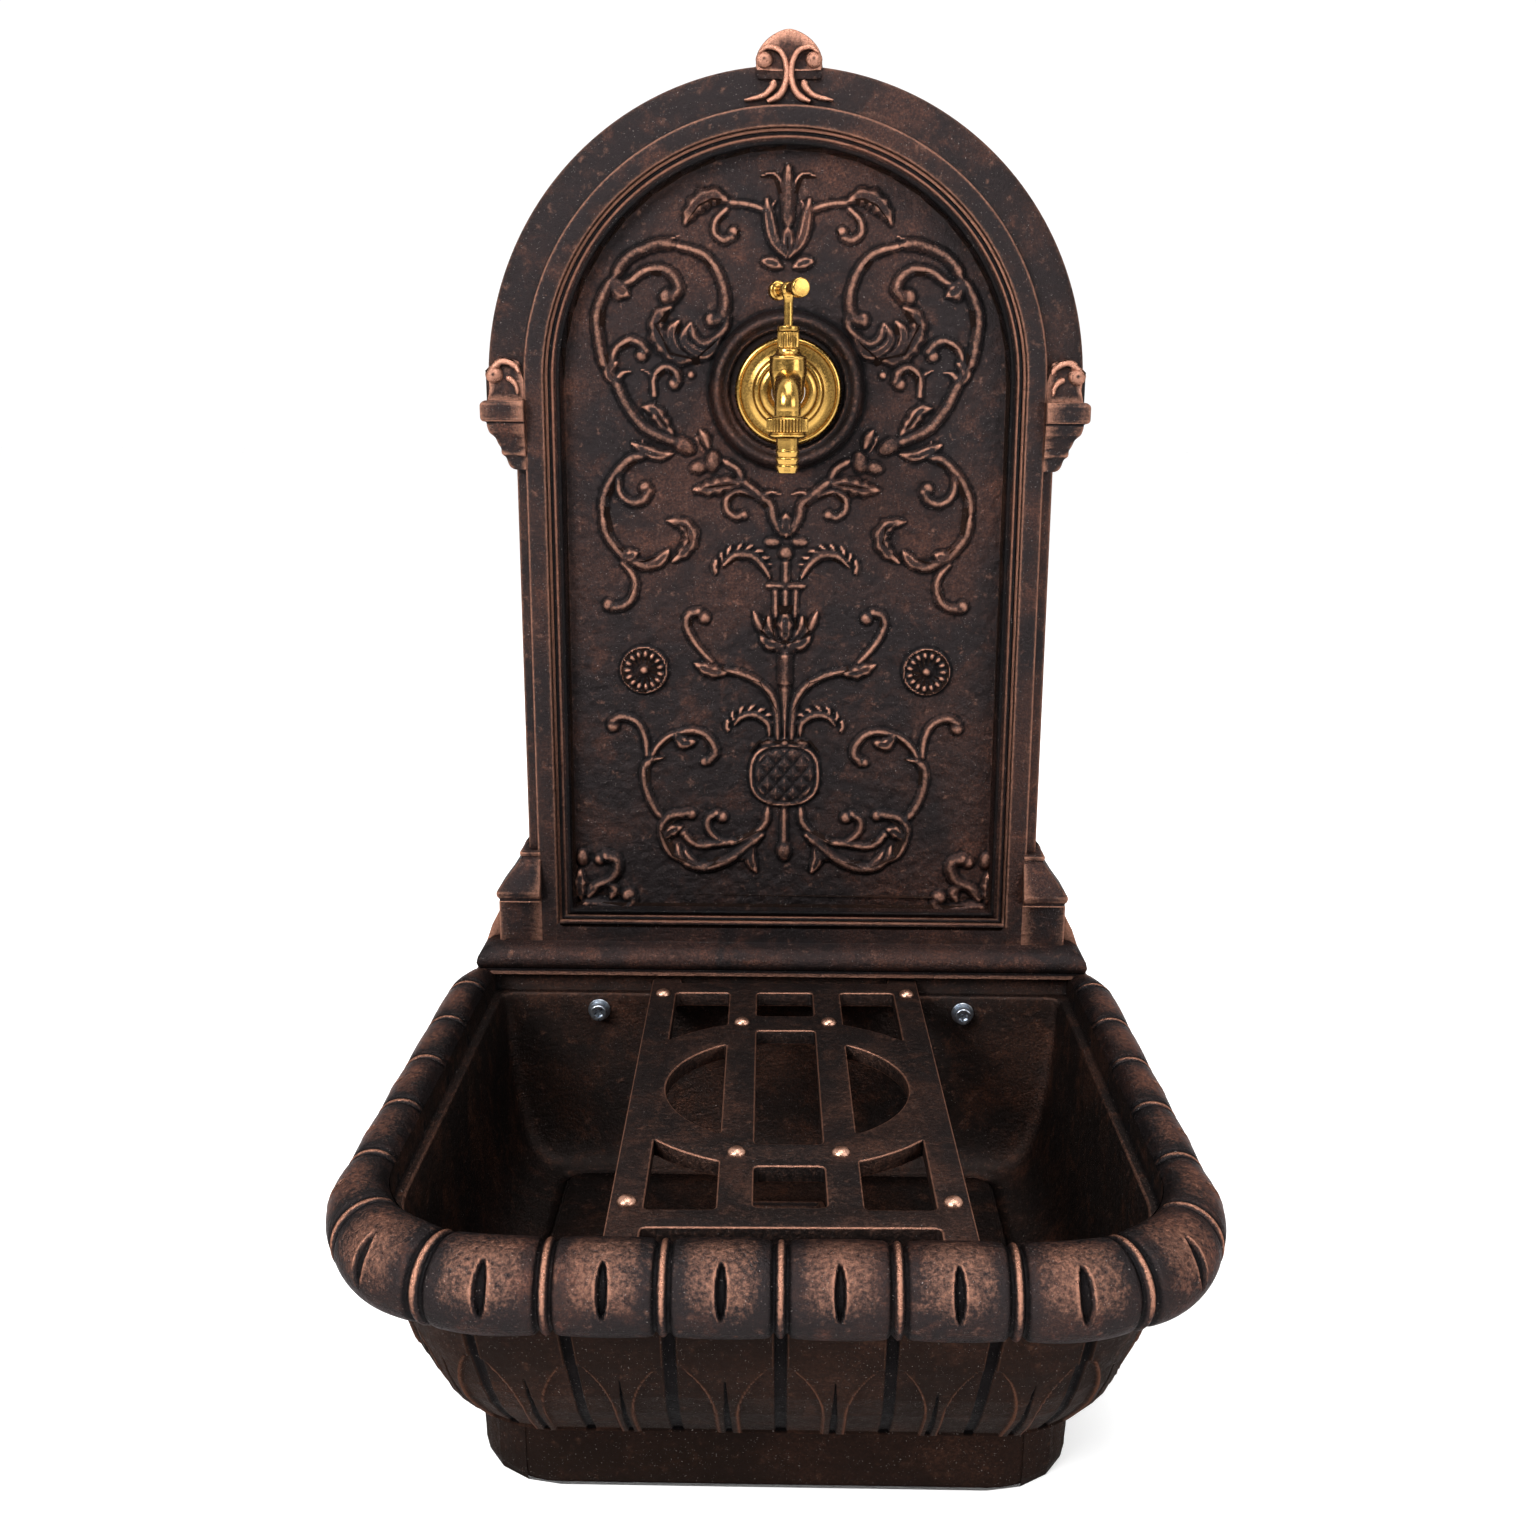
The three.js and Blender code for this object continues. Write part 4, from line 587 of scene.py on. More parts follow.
def carve_stroke(height, across, up, kind, width, points):
    """Raise one stroke on the grid of heights; across is counted from the ornament's middle line."""
    line = spline([(ORNAMENT_X - x, z) for x, z in points], 8)
    reach = width * 1.2 + 2
    picked = (across > line[:, 0].min() - reach) & (across < line[:, 0].max() + reach)
    picked &= (up > line[:, 1].min() - reach) & (up < line[:, 1].max() + reach)
    px, pz = across[picked], up[picked]
    steps = np.hypot(*np.diff(line, axis=0).T)
    run = np.concatenate([[0], np.cumsum(steps)])
    nearest = np.full(px.shape, 1e9)
    along = np.zeros(px.shape)
    side = np.zeros(px.shape)
    for i, step in enumerate(steps):
        if step < 1e-6:
            continue
        way = (line[i + 1] - line[i]) / step
        dx, dz = px - line[i, 0], pz - line[i, 1]
        t = np.clip(dx * way[0] + dz * way[1], 0, step)
        gap = np.hypot(dx - t * way[0], dz - t * way[1])
        better = gap < nearest
        nearest = np.where(better, gap, nearest)
        along = np.where(better, run[i] + t, along)
        side = np.where(better, np.sign(dx * way[1] - dz * way[0]), side)
    t = along / run[-1]
    wide = width * STROKE_SWELL * width_along("leaf" if kind == "frond" else kind, t)
    half = wide / 2 * 1.3
    if kind == "leaf" and width > 6.5:
        half = half * (1 + 0.12 * np.sin(along * 2 * np.pi / 6.5))
    crest = np.minimum(0.72 * width, 4.8) * (0.45 + 0.55 * wide / (width * STROKE_SWELL))
    rise = crest * np.clip(1 - (nearest / np.maximum(half, 0.4)) ** 2, 0, 1) ** 1.15
    if kind == "leaf" and width > 5.5:
        vein = np.exp(-((nearest / (0.2 * width)) ** 2)) * smoothstep(t, 0.05, 0.3) * smoothstep(t, 0.95, 0.7)
        rise = rise - 0.3 * crest * vein
    if kind == "frond":
        comb = smoothstep(np.cos(along * 2 * np.pi / 4.6 + nearest * 0.7), -0.35, 0.55)
        fringe = bump(nearest - width * 0.8, width * 0.85) * comb * (side < 0)
        rise = np.maximum(rise, fringe * 2.6 * smoothstep(t, 0.05, 0.3))
    height[picked] = rounded_union(height[picked], rise)


def carve_bud(height, across, up, x, z, long, wide, turn):
    angle = math.radians(turn)
    dx, dz = across - (ORNAMENT_X - x), up - z
    u = (-dx * math.cos(angle) + dz * math.sin(angle)) / (long * 1.12)
    v = (dx * math.sin(angle) + dz * math.cos(angle)) / (wide * 1.12)
    rise = min(1.05 * wide, 5.2) * np.clip(1 - u * u - v * v, 0, 1) ** 0.62
    return rounded_union(height, rise, 0.7)


def carve_vase(height, across, up):
    wide, tall = VASE_HALF
    u, v = across / wide, (up - VASE_MIDDLE) / tall
    out = (np.abs(u) ** 2.6 + np.abs(v) ** 2.6) ** (1 / 2.6)
    belly = 3.4 * np.clip(1 - out**4, 0, 1) ** 0.5
    rim = 1.9 * np.exp(-(((out - 0.93) / 0.055) ** 2))
    pitch_x, pitch_z = 10.5, 12.4
    p, q = across / pitch_x + up / pitch_z, across / pitch_x - up / pitch_z
    lattice = np.maximum(np.abs((p % 1) - 0.5), np.abs((q % 1) - 0.5)) * 2
    diamond = 1.7 * np.clip(1 - lattice**2.5, 0, 1) * (out < 0.82)
    return np.maximum(height, belly * 0.75 + rim + diamond * smoothstep(out, 0.85, 0.75))


def carve_rosette(height, across, up):
    middle, z, radius = ROSETTE
    dx, dz = across - middle, up - z
    r, angle = np.hypot(dx, dz), np.arctan2(dz, dx)
    petal = np.cos(angle * PETALS) * 0.5 + 0.5
    lobe = bump(r - 10.2, 3.6) * (0.25 + 0.75 * petal**0.7) * 3.4
    rim = 2.4 * np.exp(-(((r - radius + 1.2) / 1.0) ** 2))
    boss = 3.2 * bump(r, 4.2)
    floor = 1.0 * smoothstep(r, radius, radius - 1)
    return np.maximum(height, floor + np.maximum(np.maximum(lobe, rim), boss))


def carve_boss(height, across, up):
    z, radius, rise = BOSS
    r = np.hypot(across, up - z)
    ridge = rise * bump(r - (radius - 4.8), 5.6) ** 0.6
    inner = 6.4 * smoothstep(r, radius - 12.2, radius - 10.4) * smoothstep(r, radius - 2, radius - 5)
    floor = 2.0 * smoothstep(r, radius, radius - 2)
    return np.maximum(height, np.maximum(np.maximum(ridge, inner), floor))


def speckle(shape, rounds, seed):
    """Even random unevenness of a sand-cast face, in millimetres, softened by rounds of averaging."""
    grain = np.random.default_rng(seed).normal(0, 1, shape)
    for _ in range(rounds):
        for axis in (0, 1):
            grain = (np.roll(grain, 1, axis) + 2 * grain + np.roll(grain, -1, axis)) / 4
    return grain / grain.std() * 0.13


def spare_boss(mesh):
    """The broad ring round the tap shows less rubbing than the fine strokes."""
    z, radius, _ = BOSS
    points = mesh_arrays(mesh)[0] - PLACE
    away = np.hypot(points[:, 0] - ORNAMENT_X, points[:, 2] - z)
    rub = np.empty(len(points), np.float32)
    mesh.attributes["rub"].data.foreach_get("value", rub)
    rub *= 1 - 0.42 * smoothstep(away, radius + 3, radius + 0.5)
    mesh.attributes["rub"].data.foreach_set("value", rub)


def relief_field():
    half_columns = int((FIELD_HALF_WIDTH + 3.5) / FIELD_STEP)
    across_line = np.arange(-half_columns, half_columns + 1) * FIELD_STEP
    up_line = np.arange(FIELD_BOTTOM - 2, FIELD_HALF_WIDTH + 2, FIELD_STEP)
    across, up = np.meshgrid(np.abs(across_line[half_columns:]), up_line)
    height = np.zeros(across.shape)
    for motif in (PALMETTE, GREAT_SCROLL, KNOT_AND_LOWER_SCROLL, CANDELABRUM, VASE_AND_FOOT, CORNER_SPRAY):
        for kind, width, points in motif:
            carve_stroke(height, across, up, kind, width, points)
    for bud in BUDS:
        height = carve_bud(height, across, up, *bud)
    height = carve_vase(height, across, up)
    height = carve_rosette(height, across, up)
    height = carve_boss(height, across, up)
    height = np.hstack([height[:, :0:-1], height])
    x, z = np.meshgrid(across_line + ORNAMENT_X, up_line)
    hammered = 0.6 * speckle(x.shape, 1, 11) + 1.2 * speckle(x.shape, 4, 12)
    height = height + hammered * (0.25 + 0.75 * smoothstep(height, 1.6, 0.2))
    points = np.stack([x, -height, z], -1)
    quads = grid_faces(*x.shape)
    centre = points.reshape(-1, 3)[quads].mean(1)
    limit = FIELD_HALF_WIDTH + 1.4
    inside = (np.abs(centre[:, 0]) < limit) & (centre[:, 2] > FIELD_BOTTOM - 1.4)
    inside &= (centre[:, 2] < 0) | (np.hypot(centre[:, 0], centre[:, 2]) < limit)
    inside &= np.hypot(centre[:, 0] - TAP_X, centre[:, 2] - TAP_Z) > 10.4
    skin = Skin().add(points, quads[inside])
    field = fit_out("relief_field", mesh_of("relief_field", skin, outwards=False), relief_metal, rounds=5,
                    reach=0.72, angle=180, **CAST)
    spare_boss(field.data)


# The plate's frame: profiles as [setback from the arch's edge, y] run round the arch and down both sides

ARC_STEPS = 96
SIDE_STEPS = 60
OUTER_ZONE = [(0, 16), (0, 8), (0, 0.8), (0.3, -0.4), (1.4, -1.4), (7, -2), (15, -2.7), (20.4, -3.1),
              (21.4, -3.4)]
SHAFT_EDGE = [(15.5, 16), (15.5, 4), (15.5, -0.9), (15.8, -1.9), (16.8, -2.5), (20.6, -3), (21.5, -3.4)]
BAND = [(21, -2.6), (21.5, -3.6), (21.8, -7.2), (22.4, -7.9), (23.4, -8.15), (28, -8.2), (32.2, -8.15),
        (33.1, -7.9), (33.7, -7.2), (34, -5)]
INNER_MOULD = [(33.4, -6.9), (33.9, -5.2), (34.6, -4.4), (35.5, -4.3), (35.9, -5.4), (36.6, -6.3),
               (37.4, -6.2), (38, -5.3), (38.7, -5.2), (40.4, -7.2), (41.3, -8.3), (42.1, -8.7),
               (42.9, -8.4), (43.4, -7.2), (44.1, -3.6), (44.7, -1), (45.4, -0.1), (46.6, 0.6)]


def arch_ring(setback, y, bottom, across_bottom=False):
    """One line round the arch from the right foot to the left one, and along the bottom where asked."""
    half = ARCH_RADIUS - setback
    angle = np.linspace(0, math.pi, ARC_STEPS + 1)
    arc = np.stack([half * np.cos(angle), np.full(ARC_STEPS + 1, y), half * np.sin(angle)], 1)
    drops = np.linspace(bottom, 0, SIDE_STEPS, endpoint=False)
    side = np.stack([np.full(SIDE_STEPS, half), np.full(SIDE_STEPS, y), drops], 1)
    ring = [side, arc, (side * (-1, 1, 1))[::-1]]
    if across_bottom:
        xs = np.linspace(-half, half, 50)[1:-1]
        ring.append(np.stack([xs, np.full(48, y), np.full(48, bottom)], 1))
    return np.vstack(ring)


def plate_frame():
    skin = Skin()
    skin.rings([arch_ring(setback, y, IMPOST_TOP - 6) for setback, y in OUTER_ZONE], closed=False)
    skin.rings([arch_ring(setback, y, BLOCK_BOTTOM - 1) for setback, y in BAND], closed=False)
    mould = []
    for setback, y in INNER_MOULD:
        below = ARCH_RADIUS - setback - FIELD_HALF_WIDTH
        mould.append(arch_ring(setback, y, FIELD_BOTTOM - below, True))
    skin.rings(mould)
    heights = np.linspace(BLOCK_TOP + 20, IMPOST_TOP - 8, 130)
    for flip in (1, -1):
        skin.rings([[(flip * (ARCH_RADIUS - setback), y, z) for z in heights] for setback, y in SHAFT_EDGE],
                   closed=False)
    skin.add(*band_foot())
    fit_out("plate_frame", mesh_of("plate_frame", skin), casting, reach=1.7, angle=50, **CAST)


def band_foot():
    """The flat band that closes the frame below the field, with mitred ends."""
    inner, mitre, outer = (ARCH_RADIUS - setback for setback in (36.6, 33.8, 32.4))
    top, shoulder, bottom = BLOCK_BOTTOM + 9.7, BLOCK_BOTTOM + 11.9, BLOCK_BOTTOM - 1.5
    right = [(inner, top), (mitre, shoulder), (outer, shoulder - 0.8), (outer, bottom)]
    outline = [(-x, z) for x, z in right[1::-1]] + right + [(-x, z) for x, z in right[:1:-1]]
    return [(x, BAND[6][1], z) for x, z in outline], [[0, 1, 6, 7], [1, 2, 5, 6], [2, 3, 4, 5]]


# Mouldings on the plate: square-cornered steps that break round the pilasters


def cut_corner(before, here, after, radius, steps):
    """Points that round the corner at here, no further back than 0.45 of either side."""
    before, here, after = (np.array(p, float) for p in (before, here, after))
    into, away = before - here, after - here
    cut = min(radius, np.linalg.norm(into) * 0.45, np.linalg.norm(away) * 0.45)
    start = here + into / np.linalg.norm(into) * cut
    end = here + away / np.linalg.norm(away) * cut
    return [tuple((1 - t) ** 2 * start + 2 * t * (1 - t) * here + t * t * end)
            for t in np.linspace(0, 1, steps)]


def round_corner(outline, radius):
    """An open outline with each of its inner corners rounded."""
    made = [outline[0]]
    for before, here, after in zip(outline, outline[1:], outline[2:]):
        made += cut_corner(before, here, after, radius, 4)
    return [*made, outline[-1]]


# Side profiles as [reach beyond the arch's edge, height over the impost's top]
IMPOST_STEPS = [(-25, 0.4), (1, 0.4), (3.3, -1.5), (3.3, -10), (2.4, -11.4), (-0.2, -12), (-0.2, -14),
                (-1.4, -18), (-4.8, -21), (-5.6, -23), (-6.4, -25), (-7.8, -27), (-7.8, -30.5),
                (-10.4, -32.4), (-11.4, -36), (-12.6, -38.2), (-15, -39.6), (-25, -39.6)]
# The same as [reach beyond the block's side, height over the block's top]
CAP_STEPS = [(-29, 30.6), (-16, 30.4), (-14.2, 29), (-14.4, 27), (-15.4, 25.8), (-14.8, 24.8), (-1, 6.2),
             (0.2, 4.4), (0, 1.6), (-1.6, 0), (-1.8, -1.6), (-0.1, -3.2), (0, -30)]


def swept_moulding(steps, reach_of, inner):
    """A moulding whose side profile, as (half-width, z), is also its front profile, less far out."""
    skin = Skin()
    corner = 1.6
    for flip in (-1, 1):
        rings = []
        for half, z in round_corner(steps, 1.2):
            reach = reach_of(half, z)
            ring = [(half, FIELD_TO_WALL, z), (half, 4, z), (half, -reach + corner, z),
                    (half - corner * 0.3, -reach + corner * 0.3, z), (half - corner, -reach, z),
                    ((half + inner) / 2, -reach, z), (inner + 0.6, -reach, z), (inner, -reach + 0.6, z),
                    (inner, -2, z)]
            rings.append([(flip * x, y, h) for x, y, h in ring])
        skin.rings(rings, closed=False)
    return skin


def impost():
    steps = [(ARCH_RADIUS + out, IMPOST_TOP + h) for out, h in IMPOST_STEPS]
    skin = swept_moulding(steps, lambda half, z: 8.4 + max(half - ARCH_RADIUS + 11, 0) * 0.42, 152.6)
    seat = [(1, FIELD_TO_WALL), (1, -2), (-1, -4.4), (-6, -5.4), (-20, -5.4)]
    for flip in (-1, 1):
        skin.rings([[(flip * (ARCH_RADIUS + out), y, z) for z in (IMPOST_TOP - 0.4, -6, -1, 4)]
                    for out, y in seat], closed=False)
    fit_out("imposts", mesh_of("imposts", skin), casting, reach=1.8, angle=50, **CAST)


def block_reach(half, z):
    sloping = float(z > BLOCK_TOP - 2)
    return BAND_HEIGHT + 0.3 + max(half - BLOCK_HALF_WIDTH + 15, 0) * 0.46 * sloping


def plinth():
    steps = [(BLOCK_HALF_WIDTH + out, BLOCK_TOP + h) for out, h in CAP_STEPS]
    skin = swept_moulding(steps, block_reach, 151.4)
    top, bottom = BLOCK_BOTTOM, RIM_TOP + 0.3
    reach = BASE_MOULD_REACH
    mould = [(0, top + 0.6), (0.8, top), (5.5, top - 0.8), (9.6, top - 3.2), (reach - 0.8, top - 6.8),
             (reach, top - 10.4), (reach - 0.8, top - 13.2), (reach - 2, top - 14.6),
             (reach - 1.8, top - 15.2), (reach - 0.2, top - 15.8), (reach, bottom)]
    rings = []
    for out, z in mould:
        half, front = BLOCK_HALF_WIDTH + out, -BAND_HEIGHT - out
        xs = np.linspace(-half, half, 41)
        ring = [(-half, FIELD_TO_WALL, z), (-half, 0, z), *[(x, front, z) for x in xs], (half, 0, z),
                (half, FIELD_TO_WALL, z)]
        rings.append(ring)
    skin.rings(rings, closed=False, cap_last=True)
    for flip in (-1, 1):
        side = [(177, -326), (181, -328.5), (186, -338), (189.5, -348), (191.8, -355)]
        skin.rings([[(flip * x, y, z) for x, z in side] for y in (16, 10, 4.6, 4)], closed=False)
        skin.add([(flip * x, 4, z) for x, z in [*side, (177, -355)]], [[0, 1, 2, 3, 4, 5]])
    fit_out("plinth", mesh_of("plinth", skin), casting, reach=1.8, angle=50, **CAST)


# Free scrollwork on the imposts and the finial: tubes flattened onto the casting


def strand(skin, points, width, rise, ground, grow=(0.7, 1.0), flip=1):
    """A rounded bar along a line of (x, z), standing on ground."""
    line = spline(points, 8)
    way = np.gradient(line, axis=0)
    way /= np.linalg.norm(way, axis=1)[:, None]
    rings = []
    for i, ((x, z), (wx, wz)) in enumerate(zip(line, way)):
        t = i / (len(line) - 1)
        half = width / 2 * (grow[0] + (grow[1] - grow[0]) * t) * (0.55 + 0.45 * min(1, 8 * t, 8 * (1 - t)))
        ring = []
        for angle in np.linspace(0, math.pi, 9):
            u = half * math.cos(angle)
            ring.append((flip * (x - wz * u), ground - rise * math.sin(angle) ** 0.8, z + wx * u))
        rings.append(ring)
    skin.rings(rings, closed=False, cap_first=True, cap_last=True)


def dome(skin, x, z, radius, rise, ground, flip=1):
    rings = []
    for tilt in np.linspace(0.02, math.pi / 2, 7):
        r = radius * math.sin(tilt)
        rings.append([(flip * (x + r * math.cos(a)), ground - rise * math.cos(tilt), z + r * math.sin(a))
                      for a in np.linspace(0, 2 * math.pi, 20, endpoint=False)])
    skin.rings(rings, cap_first=True)


IMPOST_FACE = -4.6
FINIAL_FACE = -2.6


def impost_curls(skin, flip):
    """The curl over an impost: a shoulder, two strands and a ball; points are for the left-hand side."""
    strand(skin, ((-155.4, 6.4), (-157.4, 9.6), (-161.5, 12), (-166, 12.2), (-171, 9)), 5.6, 4.6, IMPOST_FACE,
           flip=flip)
    dome(skin, -170.4, 5.2, 5.4, 5.2, IMPOST_FACE, flip=flip)
    strand(skin, ((-163, 3.6), (-160, 1.8), (-157.6, -1.4), (-156.8, -6)), 4.6, 3.2, IMPOST_FACE, (1, 0.6),
           flip=flip)


def impost_shoulder(skin, flip):
    line = [(153, -10), (153, 3), (156, 12.6), (161, 14.2), (166, 13.8), (171, 10.6), (174.4, 5), (173.6, -3),
            (175.2, -10)]
    middle_x, middle_z = 164, 2
    layers = ((1, FIELD_TO_WALL), (1, -4.4), (0.96, -5.4), (0.5, -5.8))
    skin.rings([[(flip * (middle_x + (x - middle_x) * grow), y, middle_z + (z - middle_z) * grow)
                 for x, z in line] for grow, y in layers], cap_last=True)


def finial_lobe(skin):
    right = [(6, 192.2), (12, 188.6), (16.6, 183.4), (18.6, 178), (18.4, 172)]
    top = (0, ARCH_RADIUS + FINIAL_RISE)
    line = spline([*[(-x, z) for x, z in right[::-1]], top, *right], 5)
    lobe = [*[tuple(p) for p in line], (9, 171.6), (0, 171.4), (-9, 171.6)]
    middle = 174
    layers = ((1, FIELD_TO_WALL), (1, -0.6), (0.98, -1.5), (0.95, -1.9), (0.4, -2.1))
    skin.rings([[(ORNAMENT_X + x * grow, y, middle + (z - middle) * grow) for x, z in lobe]
                for grow, y in layers], cap_last=True)


def finial_curls(flip):
    part = Skin()
    strand(part, ((-16.6, 180.4), (-12, 183.4), (-6, 182), (-2.4, 177), (-1.2, 170), (-2.6, 163), (-6, 158),
                  (-12, 155)), 4.6, 3.6, FINIAL_FACE, flip=flip)
    dome(part, -14, 177.3, 4.8, 4.2, FINIAL_FACE + 0.2, flip=flip)
    strand(part, ((-8, 166), (-10, 162), (-15, 158), (-25, 155.6)), 5, 3.4, FINIAL_FACE, (1, 0.5), flip=flip)
    return np.vstack(part.points) + (ORNAMENT_X, 0, 0), part.faces


def scrollwork():
    skin = Skin()
    for flip in (1, -1):
        impost_curls(skin, flip)
    for flip in (-1, 1):
        impost_shoulder(skin, flip)
    finial_lobe(skin)
    for flip in (1, -1):
        skin.add(*finial_curls(flip))
    fit_out("scrollwork", mesh_of("scrollwork", skin), relief_metal, reach=2.6, angle=60, **CAST)


# Basin

ROLL_RUN = RIM_CORNER_RADIUS + ROLL_CENTRE_OUT
SIDE_RUN = RIM_FRONT_REACH - RIM_CORNER_RADIUS + FIELD_TO_WALL
CORNER_RUN = math.pi / 2 * ROLL_RUN
FRONT_RUN = 2 * (RIM_HALF_WIDTH - RIM_CORNER_RADIUS)
WHOLE_RUN = 2 * (SIDE_RUN + CORNER_RUN) + FRONT_RUN


def bead_places():
    """Cross beads along the rim, from the left wall end to the right one."""
    middle = SIDE_RUN + CORNER_RUN + FRONT_RUN / 2 + BEAD_PATTERN_X
    half = [i * BEAD_PITCH for i in range(5)]
    s = 4 * BEAD_PITCH + SIDE_BEAD_PITCH
    while s < middle - 20:
        half.append(s)
        s += SIDE_BEAD_PITCH
    return np.array([middle - d for d in half[:0:-1]] + [middle + d for d in half])


BEADS = bead_places()


def stations():
    """Places along the rim, closer together at the beads, their grooves and the middle of each bay."""
    offsets = np.array([0, 0.8, 1.5, 2.1, 2.6, 3.1, 3.6, 4.3, 5.2, 6.4, 8])
    made = [np.linspace(0, WHOLE_RUN, int(WHOLE_RUN / 1.9))]
    for bead in BEADS:
        made += [bead + offsets, bead - offsets]
    made = np.sort(np.concatenate(made))
    made = made[(made >= 0) & (made <= WHOLE_RUN)]
    return made[np.concatenate([[True], np.diff(made) > 0.35])]


def outline_at(s, half, front, radius):
    """The point at s on an outline with its own half-width, front and corner radius, and its way out."""
    u = np.where(s > WHOLE_RUN / 2, WHOLE_RUN - s, s)
    flip = np.where(s > WHOLE_RUN / 2, 1.0, -1.0)
    turn = np.clip((u - SIDE_RUN) / ROLL_RUN, 0, math.pi / 2)
    along = np.maximum(u - SIDE_RUN - CORNER_RUN, 0)
    straight = RIM_HALF_WIDTH - RIM_CORNER_RADIUS
    on_front = straight - along
    on_front = on_front - (straight - half + radius) * smoothstep(on_front, 50, straight)
    reach = RIM_FRONT_REACH - RIM_CORNER_RADIUS
    on_side = FIELD_TO_WALL - u
    on_side = on_side + (front + radius + reach) * smoothstep(-on_side, 120, reach)
    x = np.where(along > 0, on_front, half - radius * (1 - np.cos(turn)))
    y = np.where(u < SIDE_RUN, on_side, front + radius * (1 - np.sin(turn)))
    return flip * x, y, flip * np.cos(turn), -np.sin(turn), turn


def bay_place(s):
    """Distance to the nearest bead, distance to the middle of the bay, and the bay's number."""
    edges = np.concatenate([[BEADS[0] - SIDE_BEAD_PITCH], BEADS, [BEADS[-1] + SIDE_BEAD_PITCH]])
    bay = np.clip(np.searchsorted(edges, s) - 1, 0, len(edges) - 2)
    start, end = edges[bay], edges[bay + 1]
    return np.minimum(s - start, end - s), s - (start + end) / 2, end - start, bay


def rim_roll():
    s = stations()
    middles = (BEADS[1:] + BEADS[:-1]) / 2
    s = np.sort(np.concatenate([s, *[m + np.linspace(-4.2, 4.2, 13) for m in middles]]))
    s = s[np.concatenate([[True], np.diff(s) > 0.3])]
    x, y, ox, oy, turn = outline_at(s, RIM_HALF_WIDTH, -RIM_FRONT_REACH, RIM_CORNER_RADIUS)
    ease = smoothstep(turn, -0.2, 1)
    at_wall = 1 - 0.45 * smoothstep(y, -ROLL_END_RUN, -6)
    size = (ROLL_SIDE_SHARE + (1 - ROLL_SIDE_SHARE) * ease) * at_wall
    near, middle, pitch, bay = bay_place(s)
    from_middle = np.clip(1 - (2 * middle / pitch) ** 2, 0, 1)
    groove = np.exp(-(((near - 2.9) / 1.0) ** 2))
    swell = 1.7 * from_middle**0.5 * smoothstep(near, 2.2, 6) - 1.25 * groove + 1.2 * bump(near, 2.2) - 0.1
    dimpled = (bay > 2.5) & (bay < len(BEADS) - 2.5)
    angles = np.concatenate([np.linspace(146, 76, 15), np.linspace(72, -18, 37), np.linspace(-22, -150, 26)])
    rings = []
    wear_and_highlight = []
    for degrees in angles:
        angle = math.radians(degrees)
        wide = 2.5 * np.clip(1 - ((degrees - 26) / 36) ** 2, 0, 1) ** 0.62 * (0.55 + 0.45 * ease)
        inside = np.clip(1 - (middle / np.maximum(wide, 0.01)) ** 2, 0, 1) * (wide > 0.2)
        edge = np.exp(-(((np.abs(middle) - wide - 0.5) / 0.6) ** 2)) * (wide > 0.3)
        dent = (-2.9 * inside**0.65 + 0.4 * edge) * dimpled
        fade = smoothstep(degrees, 144, 118)
        radius = ROLL_RADIUS + (swell + dent) * fade
        d = np.maximum(size * (ROLL_CENTRE_OUT + radius * math.cos(angle)), -0.2)
        h = size * (-ROLL_CENTRE_DROP + radius * math.sin(angle))
        rings.append(np.stack([x + ox * d, y + oy * d, RIM_TOP + h], 1))
        # Painted highlight: lit is the roll's upper outer side, where the light falls from above. There the
        # mark paints copper on the middles of the cushions and on the dimples' edges, and makes the beads'
        # copper stronger. The dark grooves and pits are patina.
        lit = smoothstep(degrees, -35, 30) * smoothstep(degrees, 150, 80)
        worn_and_highlit = 0.5 * lit * from_middle**0.8 + 1.1 * bump(near, 1.9) * (0.3 + 0.7 * lit)
        worn_and_highlit = worn_and_highlit - 0.9 * groove - 0.35 * smoothstep(near, 11, 3) * (near > 2)
        worn_and_highlit = np.where(dimpled, worn_and_highlit * (1 - inside) - 1.1 * inside**0.5 + 0.35 * edge * lit, worn_and_highlit)
        wear_and_highlight.append(worn_and_highlit)
    rings = np.array(rings)
    over = (rings[..., 1] > -22) & (rings[..., 2] > RIM_TOP)
    rings[..., 2] = np.where(over, RIM_TOP, rings[..., 2])
    skin = Skin().rings(rings, closed=False, wear_and_highlight=np.concatenate(wear_and_highlight))
    fit_out("rim_roll", mesh_of("rim_roll", skin), roll_metal, angle=180, **BOWL)


# The bowl's outside as [drop below the rim, half-width, front, corner radius]
BOWL_PROFILE = np.array([(2, 185, -345, 72), (22, 184, -345.4, 73.5), (42, 183, -344, 74),
                         (64, 180.6, -338.6, 74), (84, 177.5, -331, 73), (99, 174.2, -321.6, 70.4),
                         (112, 170.5, -310, 67), (121, 167, -301, 63.4), (127, 164, -295, 60)])
ARCH_FROM = 61.0
ARCH_TALL = 38.0
FLUTE_END = 127.0
SLOT_HALF = 2.6


